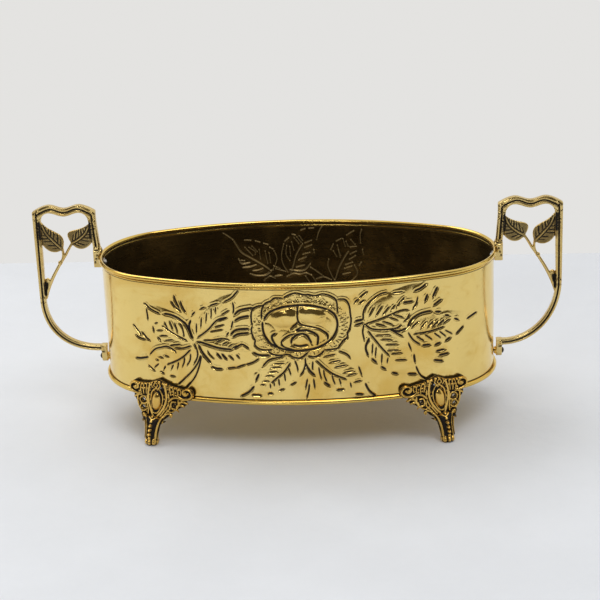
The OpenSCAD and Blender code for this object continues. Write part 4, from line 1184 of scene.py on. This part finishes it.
def foot_point(across, off, up, sx, sy):
    """Place of a point given across the foot, off the wall and up."""
    yl = -np.sqrt((SIDE_R + off) ** 2 - np.asarray(across, float) ** 2)
    c, s = math.cos(FOOT_TURN), math.sin(FOOT_TURN)
    x = across * c - yl * s
    y = across * s + yl * c + SIDE_Y
    return np.stack(np.broadcast_arrays(sx * x, -sy * y, up), -1)


def to_foot(verts, sx, sy):
    """Across, off the wall and up, for points on a foot."""
    x, y = verts[:, 0] * sx, -verts[:, 1] * sy - SIDE_Y
    c, s = math.cos(FOOT_TURN), math.sin(FOOT_TURN)
    across, yl = x * c + y * s, y * c - x * s
    return across, np.hypot(across, yl) - SIDE_R, verts[:, 2]


def foot_piece(node_name, sx, sy, relief):
    """A cast foot: scrolls and spurs grown on its outline, drawing raised over its face."""
    extras = []
    for radii, *points in FOOT_EDGES:
        p = np.array(points, float)
        extras.append(tube(foot_point(p[:, 0], p[:, 2], p[:, 1], sx, sy), radii))
    verts, quads = remeshed(node_name, FOOT_VOXEL, extras)
    verts = relaxed(verts, quads, 2)
    across, off, up = to_foot(verts, sx, sy)
    limit = PLATE_OUT + 0.05 + 0.95 * np.maximum(30 - up, 0)
    flat = np.minimum(off, limit)
    verts = foot_point(across, flat, up, sx, sy)
    nrm = point_normals(verts, quads)
    ahead = foot_point(across, flat + 1, up, sx, sy) - verts
    facing = np.einsum("ij,ij->i", nrm, ahead)
    height, dark = relief.sample(across, up)
    front = ease(facing, 0.15, 0.6) * (off > 0.8)
    front = np.where((flat > PLATE_OUT - 0.2) & (up > 30), 1.0, front)
    verts = verts + ahead * (height * front)[:, None]
    verts = relaxed(verts, quads, 1, 0.35)
    pit = cavity(verts, quads, 12)
    # painted shade: the shield's top edge next to the wall is darkened as a shadow gap
    painted_shade_near_wall = 0.85 * ease(up, 29, 32) * (1 - ease(off, 2.4, 3.8))
    side_dark = np.maximum(ease(pit, -0.12, 0.25), painted_shade_near_wall) * 0.95
    pat = dark * front + side_dark * (1 - front)
    pat = np.clip(np.maximum(pat, ease(pit, 0.05, 0.4)) - ease(-pit, 0.05, 0.4), 0, 1)
    # painted shade: faces close to the wall above the leg are made nearly black, as the shadow in the gap
    pat = np.where((off < 1.9) & (up > 29), np.maximum(pat, 0.9), pat)
    stone = ((across - 4.4) / 4.3) ** 2 + ((up - 43.4) / 9.3) ** 2
    pat = np.where((stone < 1) & (front > 0.2), 0.0, pat)
    obj = new_object(node_name + "_cast", clamp_to(verts, node_name), quads.tolist(), [FOOT],
                     None, pat)
    return add_piece(obj, "foot_brass", node_name)


# ---- handles --------------------------------------------------------------------------------
HANDLE_HIGH = [1000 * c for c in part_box("handle_right")[1]]
BAR_OUT = HANDLE_HIGH[0]
BAR_IN = BAR_OUT - 60.4
CORNER_Z = HANDLE_HIGH[2] - 6.4
BAR_W = 7.2
ARM_W = 5.6
TOP_BAR_H = 7.6
LUG_OUT = HALF_L + 8.0
LUG_TOP = FLOOR_Z + 24.6


def wave(w):
    """Upper edge of the double-waved top bar, from its middle to a corner."""
    if w < 0.48:
        return CORNER_Z + 3 + 3.4 * (1 - math.cos(math.pi * w / 0.48)) / 2
    return CORNER_Z + 6.4 * (1 - ((w - 0.48) / 0.52) ** 1.6)


def bar_lines(arc_drop, power):
    """Lines down the middle of the bars: inner bar, top bar, outer bar and arm."""
    mid, half = (BAR_IN + BAR_OUT) / 2, (BAR_OUT - BAR_IN) / 2
    arc_z = RIM_Z - arc_drop
    arc_low = LUG_TOP - ARM_W - 0.4
    reach = half - BAR_W / 2
    top = [(mid + reach * i / 24, wave(abs(i / 24)) - TOP_BAR_H / 2) for i in range(-24, 25)]
    arm = []
    for i in range(25):
        t = math.radians(90 * i / 24)
        arm.append((LUG_OUT + (BAR_OUT - ARM_W / 2 - LUG_OUT) * max(math.cos(t), 0) ** (2 / power),
                    arc_z - (arc_z - arc_low - ARM_W / 2) * math.sin(t) ** (2 / power)))
    inner = [(BAR_IN + BAR_W / 2 - 2.0, RIM_Z + 9), (BAR_IN + BAR_W / 2, CORNER_Z - 11)]
    return inner, [inner[1], top[0]], top, [top[-1], (BAR_OUT - BAR_W / 2, CORNER_Z - 8), arm[0]], arm


def from_out(p0, p1):
    """Point given inwards from a handle's outer edge and down from its corner."""
    return (BAR_OUT - p0, CORNER_Z - p1)


def from_in(p0, p1):
    """Point given outwards from a handle's inner edge and down from its corner."""
    return (BAR_IN + p0, CORNER_Z - p1)


def veined_leaf(relief, rib, tip_side, widths, seed):
    """Cupped leaf with a raised midrib between dark lines and curved side veins."""
    line = smooth(rib, 8)
    steps = np.gradient(line, axis=0)
    steps /= np.linalg.norm(steps, axis=1)[:, None]
    across = np.stack([-steps[:, 1], steps[:, 0]], 1)
    rng = np.random.default_rng(seed)
    for side in (-1, 1):
        relief.groove(line + side * 1.35 * across, 1.1, 0.4, 0.9, 0.2)
        for k, f in enumerate((0.10, 0.24, 0.38, 0.52, 0.66, 0.80)):
            i = int(f * (len(line) - 1))
            w = widths[0 if side < 0 else 1] * math.sin(math.pi * (0.2 + 0.68 * f)) + rng.uniform(-0.6, 0.6)
            a = line[i] + side * 1.4 * across[i]
            b = line[i] + side * 0.55 * w * across[i] + 0.32 * w * steps[i] * tip_side
            c = line[i] + side * w * across[i] + 0.75 * w * steps[i] * tip_side
            relief.groove([a, b, c], 1.25 if k % 2 else 0.95, 0.42, 0.95, 0.5, 1.6)
    for _ in range(26):
        i = int(rng.integers(len(line)))
        side = 1 if rng.random() < 0.5 else -1
        w = rng.uniform(2.2, 7.5)
        a = line[i] + side * w * across[i]
        relief.groove([a, a + rng.uniform(1.2, 3.0) * (steps[i] * tip_side + side * 0.6 * across[i])],
                      0.8, 0.22, rng.uniform(0.4, 0.85), 0.4, 1.0)


def handle_relief(arc_drop, power, seed):
    """Grooves, veins and tarnish on both faces of a handle: outwards and up."""
    relief = Relief(BAR_IN - 5, FLOOR_Z - 2, 340, 860, 0.2, 0.2, 0.0, 0.04)
    relief.dome(from_out(15.5, 27), (14, 19), -32, 0.0, 1.0, 0.5)
    relief.dome(from_in(15.5, 25), (14, 19), 32, 0.0, 1.0, 0.5)
    for a, b in ((from_out(5.8, 8), from_out(5.8, 29)), (from_in(6.2, 9), from_in(6.2, 29)),
                 (from_out(6.2, 69), from_out(6.2, 86))):
        relief.groove([a, b], 3.4, 0.25, 1.0, 0.0)
    relief.groove([from_out(8.4, 70), from_out(6.8, 80)], 3.4, 0.2, 1.0, 0.0)
    veined_leaf(relief, [from_out(25.6, 37.6), from_out(18, 29.6), from_out(11.4, 21.6), from_out(7.6, 11)],
                1, (8.2, 9.8), seed)
    veined_leaf(relief, [from_in(25.6, 32), from_in(18, 28), from_in(10.6, 21.4), from_in(7, 13)],
                1, (9.4, 8.6), seed + 1)
    lines = bar_lines(arc_drop, power)
    for line, half in zip(lines, (3.6, 3.7, 3.7, 3.5, 2.9)):
        relief.cushion(line, half, 0.7)
    for line in lines:
        relief.groove(line, 2.0, 0.45, 0.95, 0.10, 0.2)
    for k in range(3):
        relief.dome((BAR_IN + 0.9 + 1.1 * k, RIM_Z + 1.5 - 3.4 * k), (0.85, 1.15), 0, -0.5, 0.7, 0.9)
    relief.groove([(BAR_IN - 2.5, RIM_Z + 6), (BAR_IN + 5.2, RIM_Z + 6)], 1.5, 0.3, 0.95)
    relief.groove([(HALF_L + 3, LUG_TOP - 7), (HALF_L + 9.5, LUG_TOP - 6.4)], 1.2, 0.3, 0.9)
    relief.h = blur(relief.h)
    return relief


def handle_piece(node_name, sx, arc_drop, power, seed):
    """A cast handle with its grooves and leaves worked on both faces."""
    relief = handle_relief(arc_drop, power, seed)
    verts, quads = remeshed(node_name, HANDLE_VOXEL)
    verts = relaxed(verts, quads, 5)
    nrm = point_normals(verts, quads)
    face = np.sign(nrm[:, 1]) * ease(np.abs(nrm[:, 1]), 0.35, 0.75)
    height, dark = relief.sample(verts[:, 0] * sx, verts[:, 2])
    verts[:, 1] += height * face
    verts = relaxed(verts, quads, 2)
    rng = np.random.default_rng(seed)
    phase = rng.uniform(0, 6, 3)
    verts[:, 1] += 0.06 * np.sin(verts[:, 0] / 7 + phase[0]) * np.sin(verts[:, 2] / 9 + phase[1])
    pit = cavity(verts, quads, 14)
    deep = np.maximum(dark * ease(np.abs(nrm[:, 1]), 0.05, 0.4), 0.9 * ease(pit, 0.10, 0.4))
    pat = np.clip(deep - 0.8 * ease(-pit, 0.08, 0.35), 0, 1)
    pat = relaxed(pat[:, None], quads, 2)[:, 0]
    obj = new_object(node_name + "_cast", clamp_to(verts, node_name), quads.tolist(), [CAST], None, pat)
    return add_piece(obj, "handle_brass", node_name)


# ---- floor, light and camera ----------------------------------------------------------------
def plain_material(name, colour, rough, grain):
    """Painted board with a faint trowelled grain."""
    mat = bpy.data.materials.new(name)
    mat.use_nodes = True
    tree = mat.node_tree
    bsdf = tree.nodes["Principled BSDF"]
    at = node(tree, "ShaderNodeTexCoord").outputs["Object"]
    tone = spread(tree, noise(tree, at, 5.0, 6.0, 0.6), 0.3, 0.75)
    low = tuple(c * 0.94 for c in colour[:3]) + (1,)
    tree.links.new(mix_colour(tree, tone, low, colour), bsdf.inputs["Base Color"])
    tree.links.new(spread(tree, tone, 0, 1, rough, rough + 0.1), bsdf.inputs["Roughness"])
    bump = node(tree, "ShaderNodeBump", {"Height": noise(tree, at, grain, 6.0, 0.65), "Strength": 0.25,
                                         "Distance": 0.002})
    tree.links.new(bump.outputs[0], bsdf.inputs["Normal"])
    return mat


def floor():
    """Pale ground that ends behind the pot, where the plain background begins."""
    mesh = bpy.data.meshes.new("floor")
    back, front, side = 0.452, -0.8, 1.3
    mesh.from_pydata([(-side, front, 0), (side, front, 0), (side, back, 0), (-side, back, 0)], [],
                     [[0, 1, 2, 3]])
    mesh.materials.append(plain_material("floor_paint", (0.77, 0.795, 0.84, 1), 0.62, 90.0))
    obj = bpy.data.objects.new("floor", mesh)
    bpy.context.scene.collection.objects.link(obj)


def area_light(name, place, size, power, colour=(1, 1, 1)):
    """A soft panel that faces the pot."""
    data = bpy.data.lights.new(name, "AREA")
    data.shape = "RECTANGLE"
    data.size, data.size_y = size
    data.energy = power
    data.color = colour
    obj = bpy.data.objects.new(name, data)
    bpy.context.scene.collection.objects.link(obj)
    place = np.array(place, float)
    away = place - np.array([0.0, 0.0, 0.1])
    away /= np.linalg.norm(away)
    right = np.cross([0, 0, 1], away)
    right /= np.linalg.norm(right)
    up = np.cross(away, right)
    set_matrix(obj, right, up, away, place)


def set_matrix(obj, right, up, back, place):
    """Stands an object at a place with its own three axes."""
    rows = [[right[i], up[i], back[i], place[i]] for i in range(3)] + [[0, 0, 0, 1]]
    obj.matrix_world = Matrix([[float(c) for c in r] for r in rows])


def lights():
    """Pale room that is dark only ahead of the pot at its own height, and three soft panels."""
    world = bpy.data.worlds.new("studio")
    world.use_nodes = True
    bpy.context.scene.world = world
    tree = world.node_tree
    seen = (0.775, 0.768, 0.752, 1)
    way = node(tree, "ShaderNodeSeparateXYZ", {0: node(tree, "ShaderNodeTexCoord").outputs["Generated"]})
    ahead = spread(tree, way.outputs[1], -0.75, 0.05, 1.0, 0.0)
    raised = maths(tree, "MULTIPLY", spread(tree, way.outputs[2], -0.30, -0.14),
                   spread(tree, way.outputs[2], 0.62, 0.86, 1.0, 0.0))
    room = mix_colour(tree, maths(tree, "MULTIPLY", ahead, raised), (0.78, 0.775, 0.76, 1),
                      (0.08, 0.07, 0.055, 1))
    direct = node(tree, "ShaderNodeLightPath").outputs["Is Camera Ray"]
    tree.links.new(mix_colour(tree, direct, room, seen), tree.nodes["Background"].inputs["Color"])
    area_light("key", (-0.9, 0.5, 1.7), (1.4, 1.0), 11.0, (1.0, 0.985, 0.96))
    area_light("top", (0.4, -1.0, 2.1), (1.2, 0.9), 11.0)
    area_light("lamp", (-0.45, -2.1, 0.95), (0.42, 0.34), 3.5)


def camera():
    """Set at the height, turn and tilt of the view that the pot is shown in."""
    elevation, turn, roll = [math.radians(a) for a in (20.583, 3.777, -2.256)]
    distance = 1.6
    target = np.array([0.001275, 0.0, 0.114875])
    back = np.array([math.sin(turn) * math.cos(elevation), -math.cos(turn) * math.cos(elevation),
                     math.sin(elevation)])
    right = np.cross([0, 0, 1], back)
    right /= np.linalg.norm(right)
    up = np.cross(back, right)
    rolled = right * math.cos(roll) + up * math.sin(roll)
    raised = up * math.cos(roll) - right * math.sin(roll)
    data = bpy.data.cameras.new("camera")
    data.sensor_width = 36.0
    data.lens = 100.11
    data.clip_start = 0.05
    obj = bpy.data.objects.new("camera", data)
    bpy.context.scene.collection.objects.link(obj)
    set_matrix(obj, rolled, raised, back, target + back * distance)
    bpy.context.scene.camera = obj


def paint_nodes(material, *names):
    """Gives carried-over CAD pieces their finish."""
    for name in names:
        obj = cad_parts[name]
        for slot in obj.material_slots:
            slot.material = material
        if not obj.material_slots:
            obj.data.materials.append(material)


wall_half("front_wall_sheet", "front_wall", wall_relief(FRONT, FRONT_LEAVES, 11, True), False)
BACK_TURNED = [(width, *[(-s, z) for s, z in points]) for width, *points in BACK]
BACK_SWELLS = [((-a[0], a[1]), (-b[0], b[1]), w) for a, b, w in BACK_LEAVES]
wall_half("back_wall_sheet", "back_wall", wall_relief(BACK_TURNED, BACK_SWELLS, 12, False), True)
floor_piece()
FOOT_FACE = foot_relief()
for end_name, sy in (("front", -1), ("back", 1)):
    for side_name, sx in (("left", -1), ("right", 1)):
        foot_piece("foot_%s_%s" % (end_name, side_name), sx, sy, FOOT_FACE)
handle_piece("handle_right", 1, 33, 2.0, 31)
handle_piece("handle_left", -1, 43, 2.25, 41)
SIDES = ("left", "right")
ENDS = ("front", "back")
paint_nodes(STEEL, "rim_wire", *["foot_screw_%s_%s" % (e, s) for e in ENDS for s in SIDES],
            *["handle_upper_%s_%s" % (k, s) for k in ("screw", "washer") for s in SIDES],
            *["handle_lower_%s_%s" % (k, s) for k in ("washer", "nut") for s in SIDES])
paint_nodes(BLACK, *["handle_lower_screw_%s" % s for s in SIDES])
floor()
lights()
camera()
bpy.context.scene.view_settings.view_transform = "Standard"
